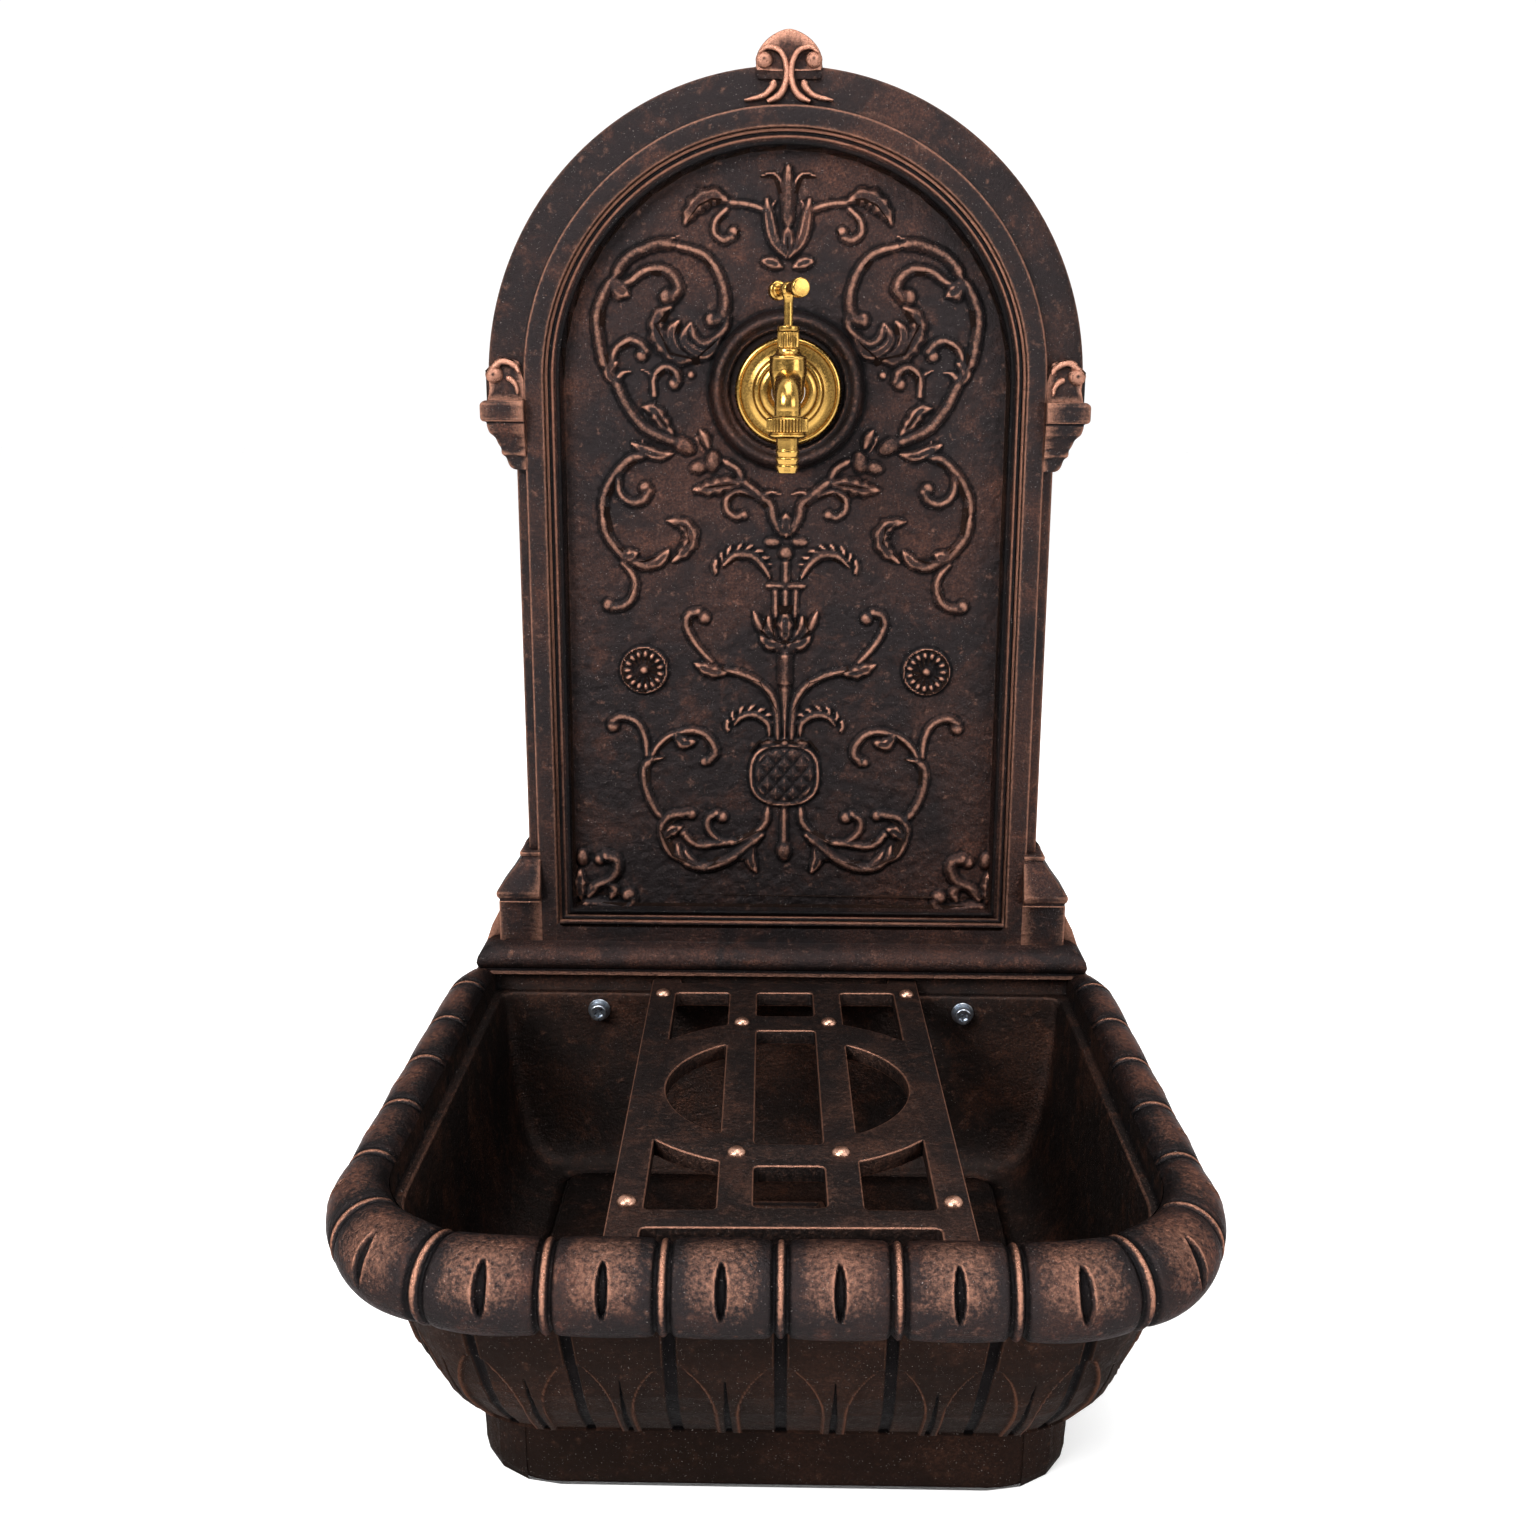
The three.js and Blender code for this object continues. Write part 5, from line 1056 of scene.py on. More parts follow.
def fluting(s, drop, squeeze):
    """How far the bowl's face stands out at s and drop, and its rubbing mark: slots, quarter arches, notches.
    """
    near, middle, pitch, _ = bay_place(s)
    near, middle = near * squeeze, np.abs(middle) * squeeze
    slot = smoothstep(near, SLOT_HALF + 0.3, SLOT_HALF - 0.3)
    edge = np.exp(-(((near - SLOT_HALF - 0.8) / 0.6) ** 2)) * (1 - slot)
    t = np.clip((drop - ARCH_FROM) / ARCH_TALL, 0, 1)
    room = pitch * squeeze / 2 - SLOT_HALF - 5.6
    arch = SLOT_HALF + 1.6 + (room - 1.6) * (1 - (1 - t) ** 2.3)
    below = smoothstep(drop, ARCH_FROM, ARCH_FROM + 2.5)
    inset = smoothstep(arch - near, -0.3, 0.3) * below * (t > 0) * (1 - slot)
    line = np.exp(-(((near - arch - 0.5) / 0.8) ** 2)) * below * (1 - slot)
    notch_half = 1.5 * smoothstep(drop, ARCH_FROM + 2, FLUTE_END - 18)
    notch = smoothstep(middle, notch_half + 0.3, notch_half - 0.3) * (notch_half > 0.15)
    fade = smoothstep(drop, FLUTE_END + 0.2, FLUTE_END - 1.2)
    relief = 0.3 * edge - 3.8 * slot - 2.0 * inset + 0.5 * line - 2.6 * notch
    wear_and_highlight = 0.4 * edge + 0.75 * line - 1.2 * slot - 1.2 * notch - 0.16 * inset
    return relief * fade, wear_and_highlight * fade


def bowl_body():
    s = stations()
    extra = []
    for a, b in zip(BEADS, BEADS[1:]):
        middle = (a + b) / 2
        extra.append(middle + np.array([-2.6, -2, -1.5, -1, -0.5, 0, 0.5, 1, 1.5, 2, 2.6]))
        extra += [a + np.linspace(9, 20, 12), b - np.linspace(9, 20, 12)]
    s = np.sort(np.concatenate([s, *extra]))
    s = s[np.concatenate([[True], np.diff(s) > 0.3])]
    drops = np.concatenate([np.linspace(6, 56, 9), np.linspace(58, 104, 40), np.linspace(106, 126, 14),
                            [126.6, FLUTE_END]])
    rings = []
    wear_and_highlight = []
    for drop in drops:
        half, front, radius = (np.interp(drop, BOWL_PROFILE[:, 0], BOWL_PROFILE[:, k]) for k in (1, 2, 3))
        x, y, ox, oy, turn = outline_at(s, half, front, radius)
        cornered = (turn > 0) & (turn < math.pi / 2)
        out, worn_and_highlit = fluting(s, drop, np.where(cornered, radius / ROLL_RUN, 1.0))
        rings.append(np.stack([x + ox * out, y + oy * out, np.full(s.shape, RIM_TOP - drop)], 1))
        wear_and_highlight.append(worn_and_highlit + 0.25 * (drop > FLUTE_END - 0.5))
    neck = GROUND + FOOT_HEIGHT
    under = [(9.4, 22, 12.5, RIM_TOP - 128.2), (7, 18, 10, RIM_TOP - 130.2), (2, 6, 4, neck + 4),
             (0.4, 1, 1, neck + 1), (0, 0, 0, neck - 2), (-0.3, -0.3, 0, GROUND + 14),
             (-0.9, -0.9, -1, GROUND + 5), (-2.2, -2.2, -2, GROUND + 1.4), (-3.6, -3.6, -3.4, GROUND)]
    for wider, deeper, rounder, z in under:
        x, y, *_ = outline_at(s, FOOT_HALF_WIDTH + wider, FOOT_FRONT - deeper, FOOT_CORNER_RADIUS + rounder)
        rings.append(np.stack([x, y, np.full(s.shape, z)], 1))
        wear_and_highlight.append(np.zeros(s.shape))
    skin = Skin().rings(rings, closed=False, wear_and_highlight=np.concatenate(wear_and_highlight))
    fit_out("bowl_body", mesh_of("bowl_body", skin), body_metal, angle=180, **BOWL)


def plan_ring(half, front, back, radius, z, steps=14, back_radius=5):
    """A plan outline with round front corners and tight back ones, as a closed ring."""
    right = []
    for t in np.linspace(0, math.pi / 2, 6):
        right.append((half - back_radius * (1 - math.sin(t)), back - back_radius * (1 - math.cos(t))))
    for y in np.linspace(back - back_radius - 6, front + radius, 12)[1:-1]:
        right.append((half, y))
    for t in np.linspace(0, math.pi / 2, steps):
        right.append((half - radius * (1 - math.cos(t)), front + radius * (1 - math.sin(t))))
    right += [(x, front) for x in np.linspace(half - radius, 0, 8)[1:-1]]
    left = [(-x, y) for x, y in right[::-1]]
    return [(x, y, z) for x, y in [*right, *left]]


def bowl_inside():
    lip = [(0, 0), (0.15, -1.5), (0.5, -5), (0.6, -LEDGE_DROP + 1), (1.2, -LEDGE_DROP + 0.1),
           (3, -LEDGE_DROP), (5, -LEDGE_DROP - 0.1), (5.8, -LEDGE_DROP - 0.7), (6, -LEDGE_DROP - 2)]
    rings = [plan_ring(RIM_HALF_WIDTH - inset, -RIM_FRONT_REACH + inset, BASIN_BACK - inset,
                       RIM_CORNER_RADIUS - inset, RIM_TOP + h, back_radius=3 + inset) for inset, h in lip]
    wall = [(20, 0.2, 0, 6), (42, 0, 0.5, 7), (64, 0, 3, 8), (84, 0, 5, 8), (99, 0.3, 7, 9), (110, 1.6, 9, 9),
            (117, 4.6, 11, 10), (121.6, 9, 13.5, 11), (124.4, 15, 17.5, 12), (125, 22, 24, 13)]
    for drop, inset, lean, tight in wall:
        half, front, radius = (np.interp(drop, BOWL_PROFILE[:, 0], BOWL_PROFILE[:, k]) for k in (1, 2, 3))
        rings.append(plan_ring(half - BOWL_WALL - inset, front + BOWL_WALL + inset,
                               BASIN_BACK - LEDGE_WIDTH - lean, radius - BOWL_WALL, RIM_TOP - drop,
                               back_radius=tight))
    floor = RIM_TOP - BOWL_DEPTH
    for half, h in ((136, 0), (134.4, -0.3), (133.4, -1), (132, -1), (131, -0.2)):
        rings.append(plan_ring(half, FOOT_FRONT + 150 - half, BASIN_BACK - 28, 40, floor + h, back_radius=8))
    last = np.array(rings[-1])
    for share in (0.7, 0.42):
        rings.append([(p[0] * share, DRAIN_Y + (p[1] - DRAIN_Y) * share, floor - 0.2) for p in last])
    drain = [(9.6, -0.2), (9.2, 1.4), (8.6, 2), (6.4, 2.1), (5.4, 1.4), (5, 0.2), (0.8, -0.2), (0, -1),
             (0, -7)]
    angles = np.arctan2(last[:, 1] - DRAIN_Y, last[:, 0])
    for out, h in drain:
        r = DRAIN_RADIUS + out
        rings.append([(r * math.cos(a), DRAIN_Y + r * math.sin(a), floor + h) for a in angles])
    skin = Skin().rings(rings)
    mesh = mesh_of("bowl_inside", skin, outwards=False)
    facing = sum(p.area * p.normal.z for p in mesh.polygons)
    if facing < 0:
        mesh.flip_normals()
    fit_out("bowl_inside", mesh, inside_metal, reach=1.2, angle=180, **BOWL)


# Hidden sides: the solids' own faces behind the plate and under the basin


def hidden_side(name, node, keep, replaced):
    """A merged copy of the solid's faces that pass keep(centre, normal), in the plate's frame."""
    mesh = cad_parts[node].data.copy()
    mesh.name = name
    work = bmesh.new()
    work.from_mesh(mesh)
    bmesh.ops.remove_doubles(work, verts=work.verts, dist=0.00001)
    work.normal_update()
    unwanted = []
    for face in work.faces:
        centre = np.array(face.calc_center_median()) * 1000 - PLACE
        if not keep(centre, face.normal):
            unwanted.append(face)
    bmesh.ops.delete(work, geom=unwanted, context="FACES")
    work.to_mesh(mesh)
    work.free()
    fit_out(name, mesh, body_metal, replaced=replaced, slot="bronze", reach=0.2, angle=30)


PLATE_MIDDLE_Z = -180.0


def plate_back(centre, normal):
    x, y, z = centre
    in_arch = z > IMPOST_TOP + 4 and math.hypot(x, z) < ARCH_RADIUS - 4
    in_shaft = z <= IMPOST_TOP + 4 and abs(x) < SHAFT_HALF_WIDTH - 4
    inward = normal.x * x + normal.z * (z - PLATE_MIDDLE_Z) < 0 and y > -3.5
    return normal.y > 0.3 or z < RIM_TOP or (inward and (in_arch or in_shaft))


def basin_back(centre, normal):
    x, y, z = centre
    floor = RIM_TOP - BOWL_DEPTH
    behind = y > BASIN_BACK and abs(x) < 169
    in_foot = z < floor - 3 and abs(x) < FOOT_HALF_WIDTH - 3 and y > FOOT_FRONT + 4
    in_drain = math.hypot(x, y - DRAIN_Y) < DRAIN_RADIUS + 1 and z < floor
    bolt_hole = abs(abs(x) - SCREW_X) < 4 and abs(z - SCREW_Z) < 4 and y > -22
    return normal.y > 0.6 and y > -24 or behind or in_foot or in_drain or bolt_hole or z < GROUND + 0.5


# Grate

GRATE_HALF = 83.0
GRATE_BAR = 16.0
GRATE_THICKNESS = 9.0
GRATE_TURN = math.radians(1)
GRATE_X = 5.0
RING_INNER = 65.0
RING_OUTER = 91.0
WINDOW_FROM = 34.0
CENTRE_WINDOW = 17.0
END_GAP = 0.9 + GRATE_HALF * math.sin(GRATE_TURN)
GRATE_BACK = BASIN_BACK - END_GAP
GRATE_LENGTH = RIM_FRONT_REACH - END_GAP + GRATE_BACK
RING_MIDDLE = GRATE_LENGTH * 0.49
FRONT_BAR = GRATE_LENGTH - 18
STUDS = [(75, 27), (25.5, 72), (25.5, 235), (75, FRONT_BAR - 22)]
STUD_RADIUS = 4.6
STUD_RISE = 3.4


def arc_points(radius, start, end, steps=14):
    """Points on a circle round the ring's middle, as (u, v), between two angles in degrees."""
    return [(radius * math.cos(a), RING_MIDDLE + radius * math.sin(a))
            for a in np.radians(np.linspace(start, end, steps))]


def rounded(outline, radius):
    """A closed outline with its sharp corners rounded."""
    made = []
    count = len(outline)
    for i in range(count):
        before, here, after = (np.array(outline[(i + k) % count], float) for k in (-1, 0, 1))
        into, away = before - here, after - here
        bend = into @ away / (np.linalg.norm(into) * np.linalg.norm(away))
        made += [tuple(here)] if bend < -0.94 else cut_corner(before, here, after, radius, 5)
    return made


def grate_outlines():
    side = GRATE_HALF - GRATE_BAR
    low = FRONT_BAR - GRATE_BAR
    frame_line = [(-GRATE_HALF, 0), (-side + 2, 0), (-side + 2, 8), (side - 2, 8), (side - 2, 0),
                  (GRATE_HALF, 0), (GRATE_HALF, GRATE_LENGTH), (side, GRATE_LENGTH), (side, FRONT_BAR),
                  (-side, FRONT_BAR), (-side, GRATE_LENGTH), (-GRATE_HALF, GRATE_LENGTH)]
    inner = math.degrees(math.acos(WINDOW_FROM / RING_INNER))
    near = math.degrees(math.acos(side / RING_OUTER))
    far = math.degrees(math.acos(WINDOW_FROM / RING_OUTER))
    centre = [[(-CENTRE_WINDOW, a), (CENTRE_WINDOW, a), (CENTRE_WINDOW, b), (-CENTRE_WINDOW, b)]
              for a, b in ((24, 61), (83, 225), (248, low - 2))]
    right = [
        arc_points(RING_INNER, -inner, inner, 24),
        [(WINDOW_FROM, 24), (side, 24), *arc_points(RING_OUTER, -near, -far)],
        [*arc_points(RING_OUTER, far, near), (side, low), (WINDOW_FROM, low)],
    ]
    left = [[(-u, v) for u, v in hole][::-1] for hole in right]
    return rounded(frame_line, 3.2), [rounded(hole, 3.4) for hole in [*centre, *right, *left]]


def grate():
    outline, holes = grate_outlines()
    curve = bpy.data.curves.new("grate_outline", "CURVE")
    curve.dimensions = "2D"
    curve.fill_mode = "BOTH"
    for points in [outline, *holes]:
        line = curve.splines.new("POLY")
        line.points.add(len(points) - 1)
        for slot, (u, v) in zip(line.points, points):
            slot.co = (u, -v, 0, 1)
        line.use_cyclic_u = True
    bevel = 0.9
    curve.extrude = GRATE_THICKNESS / 2 - bevel
    curve.bevel_depth = bevel
    curve.bevel_resolution = 3
    curve.offset = -bevel
    drawn = bpy.data.objects.new("grate_outline", curve)
    bpy.context.scene.collection.objects.link(drawn)
    bpy.context.view_layer.update()
    mesh = bpy.data.meshes.new_from_object(drawn.evaluated_get(bpy.context.evaluated_depsgraph_get()))
    bpy.data.objects.remove(drawn)
    bpy.data.curves.remove(curve)
    bottom = RIM_TOP - LEDGE_DROP + 0.3
    turn = Matrix.Rotation(GRATE_TURN, 4, "Z")
    lift = Matrix.Translation((0, GRATE_LENGTH / 2, GRATE_THICKNESS / 2))
    home = Matrix.Translation((GRATE_X, GRATE_BACK - GRATE_LENGTH / 2, bottom))
    mesh.transform(home @ turn @ lift)
    mesh.transform(Matrix.Translation(Vector(PLACE)))
    mesh.transform(Matrix.Scale(0.001, 4))
    work = bmesh.new()
    work.from_mesh(mesh)
    bmesh.ops.remove_doubles(work, verts=work.verts, dist=0.00002)
    bmesh.ops.recalc_face_normals(work, faces=work.faces)
    work.to_mesh(mesh)
    work.free()
    mesh.name = "grate_frame"
    fit_out("grate_frame", mesh, grate_metal, ("grate",), "bronze", reach=0.7, angle=20)
    studs = repeat_on_grate(home @ turn @ lift)
    fit_out("grate_studs", studs, stud_metal, ("grate",), "bronze", reach=3.0, angle=50)


# Geometry Nodes: domed studs on the grate


def link_nodes(tree, source, target, source_socket=0, target_socket=0):
    tree.links.new(source.outputs[source_socket], target.inputs[target_socket])


def repeat_on_grate(place):
    """Domed studs, one on each point, made in a geometry node tree with their sizes as inputs."""
    tree = bpy.data.node_groups.new("studs_on_points", "GeometryNodeTree")
    tree.interface.new_socket("Places", in_out="INPUT", socket_type="NodeSocketGeometry")
    radius = tree.interface.new_socket("Stud radius", in_out="INPUT", socket_type="NodeSocketFloat")
    rise = tree.interface.new_socket("Stud rise", in_out="INPUT", socket_type="NodeSocketFloat")
    finish = tree.interface.new_socket("Finish", in_out="INPUT", socket_type="NodeSocketMaterial")
    tree.interface.new_socket("Studs", in_out="OUTPUT", socket_type="NodeSocketGeometry")
    given = tree.nodes.new("NodeGroupInput")
    made = tree.nodes.new("NodeGroupOutput")
    ball = tree.nodes.new("GeometryNodeMeshUVSphere")
    ball.inputs["Segments"].default_value = 24
    ball.inputs["Rings"].default_value = 14
    size = tree.nodes.new("ShaderNodeCombineXYZ")
    scatter = tree.nodes.new("GeometryNodeInstanceOnPoints")
    real = tree.nodes.new("GeometryNodeRealizeInstances")
    paint = tree.nodes.new("GeometryNodeSetMaterial")
    tree.links.new(given.outputs["Stud radius"], size.inputs["X"])
    tree.links.new(given.outputs["Stud radius"], size.inputs["Y"])
    tree.links.new(given.outputs["Stud rise"], size.inputs["Z"])
    tree.links.new(given.outputs["Places"], scatter.inputs["Points"])
    tree.links.new(ball.outputs["Mesh"], scatter.inputs["Instance"])
    tree.links.new(size.outputs["Vector"], scatter.inputs["Scale"])
    link_nodes(tree, scatter, real)
    link_nodes(tree, real, paint)
    tree.links.new(given.outputs["Finish"], paint.inputs["Material"])
    link_nodes(tree, paint, made)
    points = [Vector((sign * u, -v, GRATE_THICKNESS / 2)) for u, v in STUDS for sign in (1, -1)]
    row_points = [(Vector(PLACE) + place @ p) / 1000 for p in points]
    mesh = bpy.data.meshes.new("stud_places")
    mesh.from_pydata([tuple(p) for p in row_points], [], [])
    holder = bpy.data.objects.new("stud_places", mesh)
    bpy.context.scene.collection.objects.link(holder)
    modifier = holder.modifiers.new("studs", "NODES")
    modifier.node_group = tree
    modifier[radius.identifier] = STUD_RADIUS / 1000
    modifier[rise.identifier] = STUD_RISE / 1000
    modifier[finish.identifier] = stud_metal
    bpy.context.view_layer.update()
    result = bpy.data.meshes.new_from_object(holder.evaluated_get(bpy.context.evaluated_depsgraph_get()))
    holder.modifiers.remove(modifier)
    bpy.data.objects.remove(holder)
    result.name = "grate_studs"
    return result


# Turned pieces of the tap, the screws and washers


def lathe(skin, profile, centre, axis="up", sides=64, ribs=0, rib_depth=0.0, ribbed=(None, None)):
    """A turned piece: profile points are [radius, along], with ribs between two places where asked."""
    rings = []
    for r, h in profile:
        ring = []
        for k in range(sides):
            angle = 2 * math.pi * k / sides
            cut = 0.0
            if ribs and ribbed[0] <= h <= ribbed[1]:
                cut = rib_depth * (0.5 - 0.5 * math.cos(angle * ribs))
            radius = max(r - cut, 0.0)
            u, v = radius * math.cos(angle), radius * math.sin(angle)
            point = (u, v, h) if axis == "up" else (u, -h, v)
            ring.append(tuple(np.array(point) + centre))
        rings.append(ring)
    skin.rings(rings)
    return skin


FLANGE_CENTRE = np.array([TAP_X, 0, TAP_Z])
BARREL_CENTRE = np.array([TAP_X, BARREL_Y, 0])
NOSE_CENTRE = np.array([TAP_X, NOSE_Y, 0])


def brass_piece(name, skin, node, **settings):
    """One piece of the tap in polished brass."""
    fit_out(name, mesh_of(name, skin), brass, (node,), "brass", **settings)


def tap_flange():
    profile = [(9.8, 3), (9.8, 2.3), (31.4, 2.3), (31.4, 4.6), (30.6, 6.2), (29.2, 7), (28, 6.7), (27.6, 6),
               (24, 6.1), (20.8, 7), (20.2, 8.6), (19, 9.5), (17.2, 9.6), (16.6, 8.8), (14.4, 9.8),
               (12.2, 12), (10.8, 14.6), (10, 17), (9.8, 17.2), (9.8, 12)]
    skin = lathe(Skin(), round_corner(profile, 0.6), FLANGE_CENTRE, "out", 96)
    brass_piece("tap_flange_brass", skin, "tap_flange", angle=60)


def spout(skin):
    """The bent nose of the tap, from the barrel down to the union nut."""
    knee = [(BARREL_Y + 4, TAP_Z + 5), (BARREL_Y - 8, TAP_Z + 4.4), (NOSE_Y + 9, TAP_Z + 2.4),
            (NOSE_Y + 3, TAP_Z - 1.2), (NOSE_Y, TAP_Z - 6.4), (NOSE_Y, TAP_Z - 10), (NOSE_Y, TAP_Z - 12.8)]
    line = spline(knee, 6)
    way = np.gradient(line, axis=0)
    way /= np.linalg.norm(way, axis=1)[:, None]
    around = np.linspace(0, 2 * math.pi, 40, endpoint=False)
    rings = []
    for i, ((y, z), (wy, wz)) in enumerate(zip(line, way)):
        radius = 7.9 - 0.7 * smoothstep(i / len(line), 0.1, 0.6)
        rings.append([(TAP_X + radius * math.cos(a), y - wz * radius * math.sin(a),
                       z + wy * radius * math.sin(a)) for a in around])
    skin.rings(rings, cap_last=True)


def tap_body():
    barrel = [(0.01, -12), (4.5, -12), (6.6, -11), (8, -8), (8.8, -4), (9.4, 0), (9.9, 3), (10.5, 5.2),
              (10.7, 7.4), (10.5, 9.4), (10.3, 13.6), (10.5, 14.4), (10.2, 15.2), (9, 15.6), (7.6, 16.4),
              (6.6, 17.6), (6.4, 19.2), (0.01, 19.3)]
    skin = lathe(Skin(), round_corner(barrel, 0.5), BARREL_CENTRE, "up", 72)
    inlet = [(0.01, -13), (9.5, -13), (9.5, 17.4), (9.2, 19), (8.2, 20.8), (7.4, 22.6), (7.2, 26), (7.4, 30),
             (8, 34), (8.6, 38), (8.8, 42), (0.01, 48)]
    lathe(skin, round_corner(inlet, 0.5), FLANGE_CENTRE, "out", 56)
    spout(skin)
    brass_piece("tap_body_brass", skin, "tap_body", rounds=6, reach=0.8, angle=50)


def tap_bonnet():
    profile = [(2.95, 19.6), (5.6, 19.6), (5.9, 20), (6.1, 20.4), (6.1, 24), (6.1, 27.6), (5.9, 28),
               (5.4, 28.3), (2.95, 28.3)]
    skin = lathe(Skin(), profile, BARREL_CENTRE, "up", 156, 26, 0.55, (20.2, 27.7))
    brass_piece("tap_bonnet_brass", skin, "tap_bonnet", angle=35)


def tap_gland():
    profile = [(2.95, 28.6), (5.7, 28.6), (6.2, 29), (6.2, 31), (5.8, 31.5), (4.9, 31.6), (4.6, 31.1),
               (2.95, 31.1)]
    skin = lathe(Skin(), round_corner(profile, 0.3), BARREL_CENTRE, "up", 64)
    brass_piece("tap_gland_brass", skin, "tap_gland_nut", angle=50)


def tap_union_nut():
    profile = [(6.9, -17.3), (10.2, -17.3), (11.2, -18.1), (11.45, -18.8), (11.45, -22), (11.45, -24.6),
               (11.1, -25.2), (9.9, -25.6), (9.9, -26.2), (10.7, -26.7), (10.5, -27.6), (9.2, -28.8),
               (6.9, -28.8)]
    skin = lathe(Skin(), round_corner(profile, 0.3), NOSE_CENTRE, "up", 216, 36, 0.8, (-25, -18.4))
    brass_piece("tap_union_nut_brass", skin, "tap_union_nut", angle=35)


def tap_hose_tail():
    profile = [(4, -17.7), (6.2, -17.7), (6.2, -30), (6, -34.6), (6.5, -35.2), (6.6, -36.2), (5.7, -38.6),
               (6.5, -39.2), (6.6, -40.2), (5.6, -42.6), (6.4, -43.2), (6.5, -44.2), (5.5, -46.6),
               (5.3, -47.4), (4, -47.4), (4, -40)]
    skin = lathe(Skin(), round_corner(profile, 0.3), NOSE_CENTRE, "up", 56)
    brass_piece("tap_hose_tail_brass", skin, "tap_hose_tail", angle=50)


def tap_handle():
    spindle = [(0.01, 20.8), (2.6, 20.8), (2.6, 30), (2.6, 44), (2.9, 46.4), (3.6, 47.6), (3.8, 49),
               (0.01, 50)]
    skin = lathe(Skin(), round_corner(spindle, 0.3), BARREL_CENTRE, "up", 32)
    eye = [(4.55 * math.sin(t) + 0.01, -4.3 * math.cos(t)) for t in np.linspace(0.02, math.pi - 0.02, 15)]
    lathe(skin, eye, BARREL_CENTRE + (0, 0, HANDLE_BAR_Z), "up", 40)
    half = [(3.6, 0), (3.1, 4.4), (2.9, 9), (2.9, 12.4), (3.5, 13), (4.9, 13.2), (5.4, 13.9), (5.4, 17.4),
            (4.9, 18.2), (4.4, 18.4), (0.01, 18.5)]
    bar = Skin()
    for sign in (1, -1):
        lathe(bar, [(r, sign * h) for r, h in round_corner(half, 0.4)], np.zeros(3), "out", 44)
    cosine, sine = math.cos(HANDLE_BAR_TURN), math.sin(HANDLE_BAR_TURN)
    x, y, z = np.vstack(bar.points).T
    turned = np.stack([TAP_X + x * cosine - y * sine, BARREL_Y + x * sine + y * cosine, z + HANDLE_BAR_Z], 1)
    skin.add(turned, bar.faces)
    brass_piece("tap_handle_brass", skin, "tap_handle", body="tap_handle", angle=50)


SCREW_LENGTH = 22.0
SOCKET_RIM = 3.7
SOCKET_HALF = 2.75
SIXTH_TURN = math.pi / 3


def socket_screw(side, x):
    """A screw with a hexagon socket in its head."""
    head = WASHER_SEAT + WASHER_THICKNESS + 0.3
    profile = [(0.01, head - SCREW_LENGTH), (3, head - SCREW_LENGTH), (3, head), (5.25, head),
               (5.25, head + 5), (4.8, head + 5.5), (SOCKET_RIM, head + 5.5)]
    skin = lathe(Skin(), round_corner(profile, 0.25), np.array([x, 0, SCREW_Z]), "out", 48)
    rings = []
    for grow, depth in ((0, 5.5), (1, 5.35), (0.98, 2.6), (0.02, 2.2)):
        ring = []
        for angle in np.linspace(0, 2 * math.pi, 48, endpoint=False):
            flat = SOCKET_HALF / math.cos((angle + SIXTH_TURN / 2) % SIXTH_TURN - SIXTH_TURN / 2)
            radius = flat * grow if grow else SOCKET_RIM
            ring.append((x + radius * math.cos(angle), -(head + depth), SCREW_Z + radius * math.sin(angle)))
        rings.append(ring)
    skin.rings(rings)
    name = f"socket_screw_{side}"
    fit_out(name, mesh_of(name, skin), zinc, (f"bolt_{side}",), "zinc")


def flat_washer(side, x):
    near, far = WASHER_SEAT, WASHER_SEAT + WASHER_THICKNESS
    profile = [(3.3, near), (6.8, near), (7, near + 0.2), (7, far - 0.2), (6.8, far), (3.3, far), (3.3, near)]
    skin = lathe(Skin(), profile, np.array([x, 0, SCREW_Z]), "out", 56)
    name = f"flat_washer_{side}"
    fit_out(name, mesh_of(name, skin), zinc, (f"washer_{side}",), "zinc")


# Floor, light and camera, in metres

FLOOR_HALF = 14.0


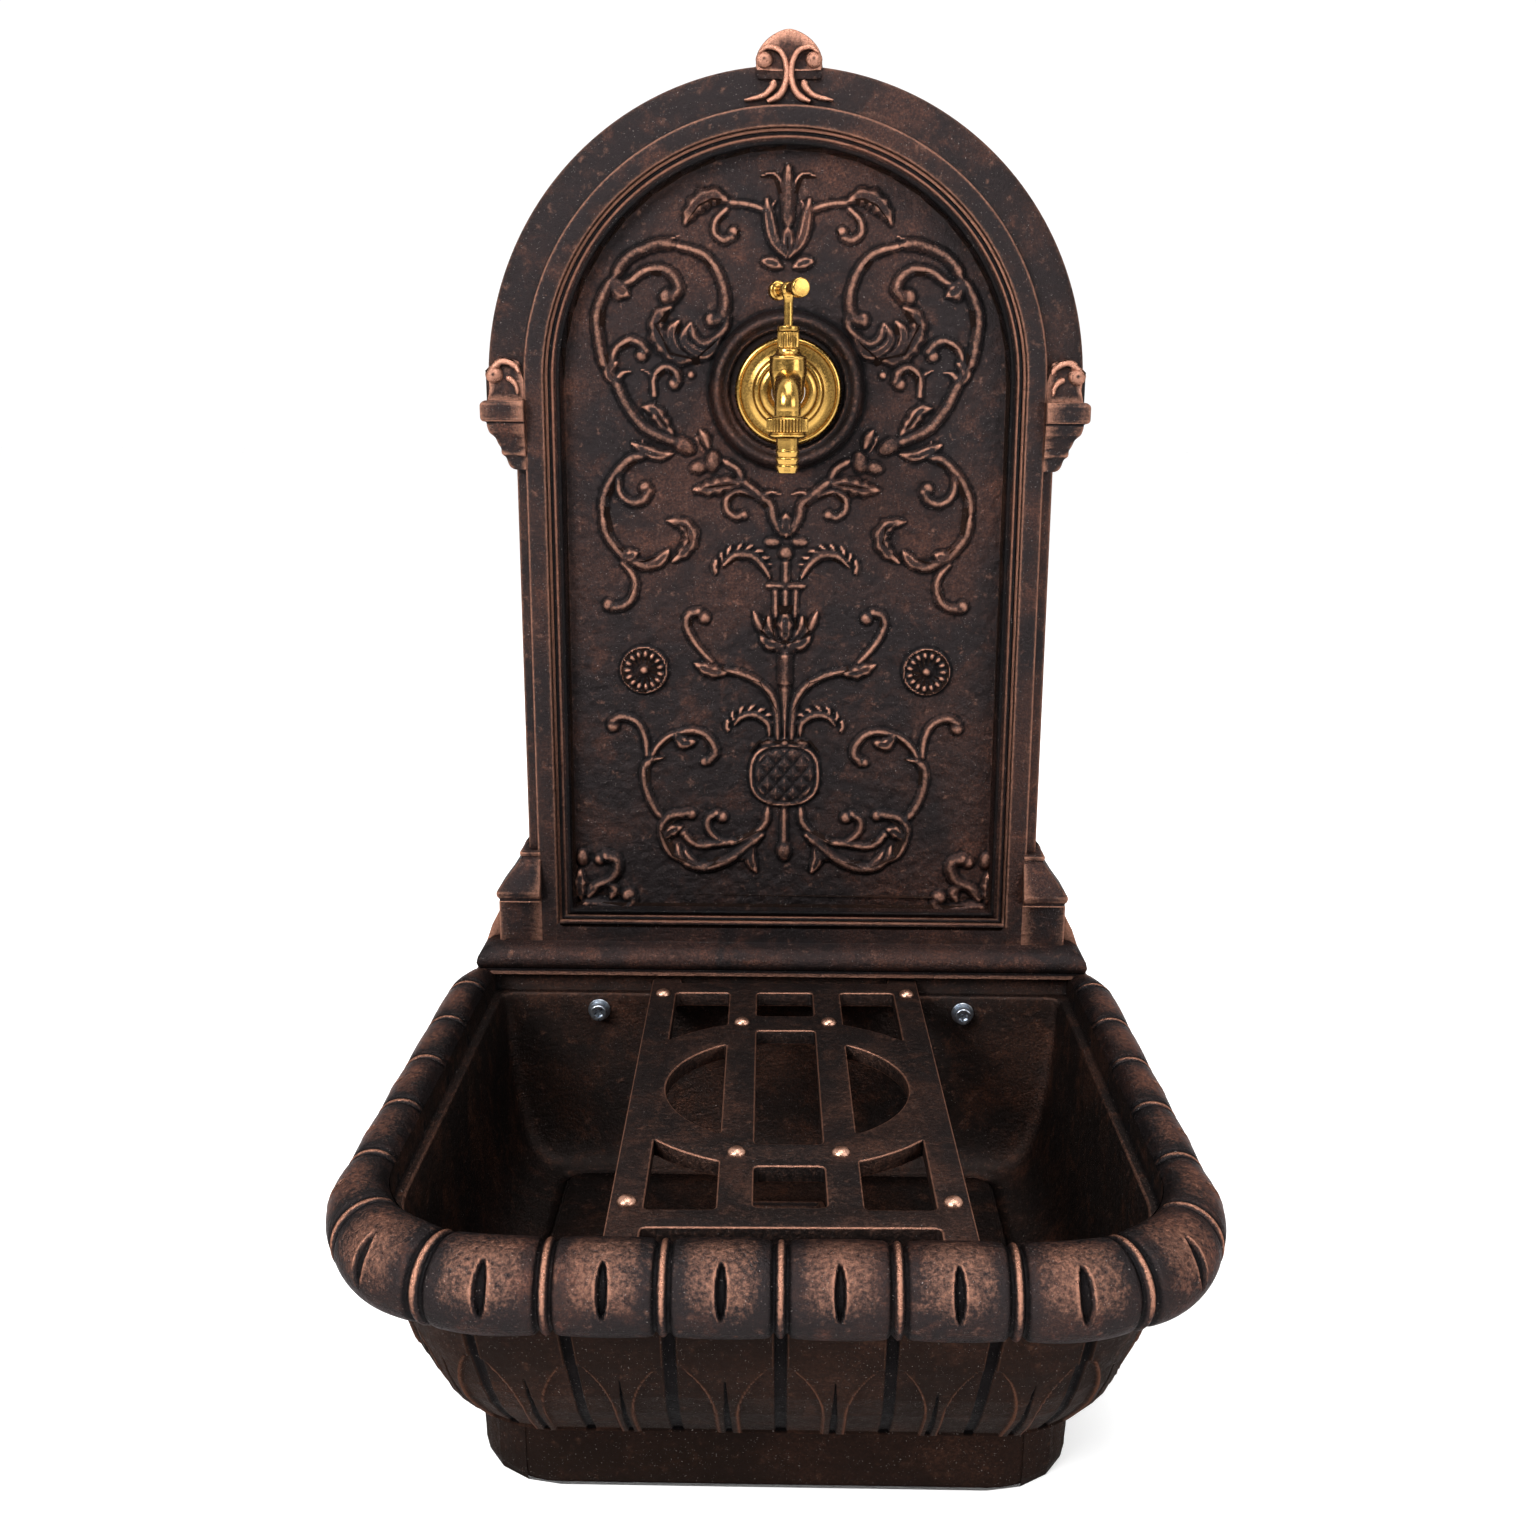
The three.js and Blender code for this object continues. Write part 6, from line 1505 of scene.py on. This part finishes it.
def studio():
    floor = bpy.data.meshes.new("studio_floor")
    corners = [(x * FLOOR_HALF, y * FLOOR_HALF, 0) for x, y in ((-1, -1), (1, -1), (1, 1), (-1, 1))]
    floor.from_pydata(corners, [], [(0, 1, 2, 3)])
    plane = bpy.data.objects.new("studio_floor", floor)
    bpy.context.scene.collection.objects.link(plane)
    paint = Finish("studio_white", Roughness=0.9, Specular_IOR_Level=0.1, Emission_Strength=0.4)
    paint.shader.inputs["Emission Color"].default_value = (1, 1, 1, 1)
    grain = paint.between(paint.noise(3, 2), 0.3, 0.7)
    floor.materials.append(paint.finish(Base_Color=paint.mix(grain, (0.9, 0.9, 0.9), (0.93, 0.93, 0.93))))

    world = bpy.data.worlds.new("studio_surround")
    bpy.context.scene.world = world
    world.use_nodes = True
    tree = world.node_tree
    background = tree.nodes["Background"]
    way = tree.nodes.new("ShaderNodeTexCoord")
    parts = tree.nodes.new("ShaderNodeSeparateXYZ")
    fade = tree.nodes.new("ShaderNodeMapRange")
    fade.interpolation_type = "SMOOTHSTEP"
    fade.inputs["From Min"].default_value = -0.35
    fade.inputs["From Max"].default_value = 0.3
    fade.inputs["To Min"].default_value = 0.22
    fade.inputs["To Max"].default_value = 1.05
    tree.links.new(way.outputs["Generated"], parts.inputs["Vector"])
    tree.links.new(parts.outputs["Y"], fade.inputs["Value"])
    tree.links.new(fade.outputs["Result"], background.inputs["Strength"])
    background.inputs["Color"].default_value = (1, 1, 1, 1)

    lights = [
        ("window_left", (-1.6, -1.7, 1.9), 95.0, 1.1, (0.0, 0.0, 0.42)),
        ("window_right", (1.9, -1.3, 1.2), 26.0, 1.3, (0.0, 0.0, 0.35)),
        ("ceiling", (0.2, -0.5, 2.6), 50.0, 1.5, (0.0, 0.0, 0.3)),
    ]
    for name, place, power, size, target in lights:
        lamp = bpy.data.lights.new(name, "AREA")
        lamp.energy = power
        lamp.size = size
        holder = bpy.data.objects.new(name, lamp)
        holder.location = place
        holder.rotation_euler = (Vector(target) - Vector(place)).to_track_quat("-Z", "Y").to_euler()
        bpy.context.scene.collection.objects.link(holder)


# The camera's place is in millimetres in the plate's frame
CAMERA_PLACE = (7.30, -955.71, -3.34)
CAMERA_DOWN = math.radians(13.464)
CAMERA_YAW = math.radians(-0.972)
CAMERA_ROLL = math.radians(0.235)
FOCAL_SHARE = 1576.8 / 1536


def camera():
    level_share = math.cos(CAMERA_DOWN)
    forward = Vector((math.sin(CAMERA_YAW) * level_share, math.cos(CAMERA_YAW) * level_share,
                      -math.sin(CAMERA_DOWN)))
    level = Vector((math.cos(CAMERA_YAW), -math.sin(CAMERA_YAW), 0))
    up = level.cross(forward)
    right = math.cos(CAMERA_ROLL) * level + math.sin(CAMERA_ROLL) * up
    top = -math.sin(CAMERA_ROLL) * level + math.cos(CAMERA_ROLL) * up
    lens = bpy.data.cameras.new("camera")
    lens.sensor_width = 36
    lens.lens = 36 * FOCAL_SHARE
    lens.clip_start = 0.02
    viewer = bpy.data.objects.new("camera", lens)
    turn = Matrix((right, top, -forward)).transposed().to_4x4()
    place = Vector(placed([CAMERA_PLACE])[0])
    viewer.matrix_world = Matrix.Translation(place) @ turn
    bpy.context.scene.collection.objects.link(viewer)
    bpy.context.scene.camera = viewer
    bpy.context.scene.view_settings.view_transform = "Standard"


relief_field()
plate_frame()
impost()
plinth()
scrollwork()
rim_roll()
bowl_body()
bowl_inside()
hidden_side("plate_back", "back_plate", plate_back, ("back_plate",))
hidden_side("basin_back", "basin", basin_back, ("basin",))
grate()
tap_flange()
tap_body()
tap_bonnet()
tap_gland()
tap_union_nut()
tap_hose_tail()
tap_handle()
for side, x in (("left", -SCREW_X), ("right", SCREW_X)):
    socket_screw(side, x)
    flat_washer(side, x)
studio()
camera()
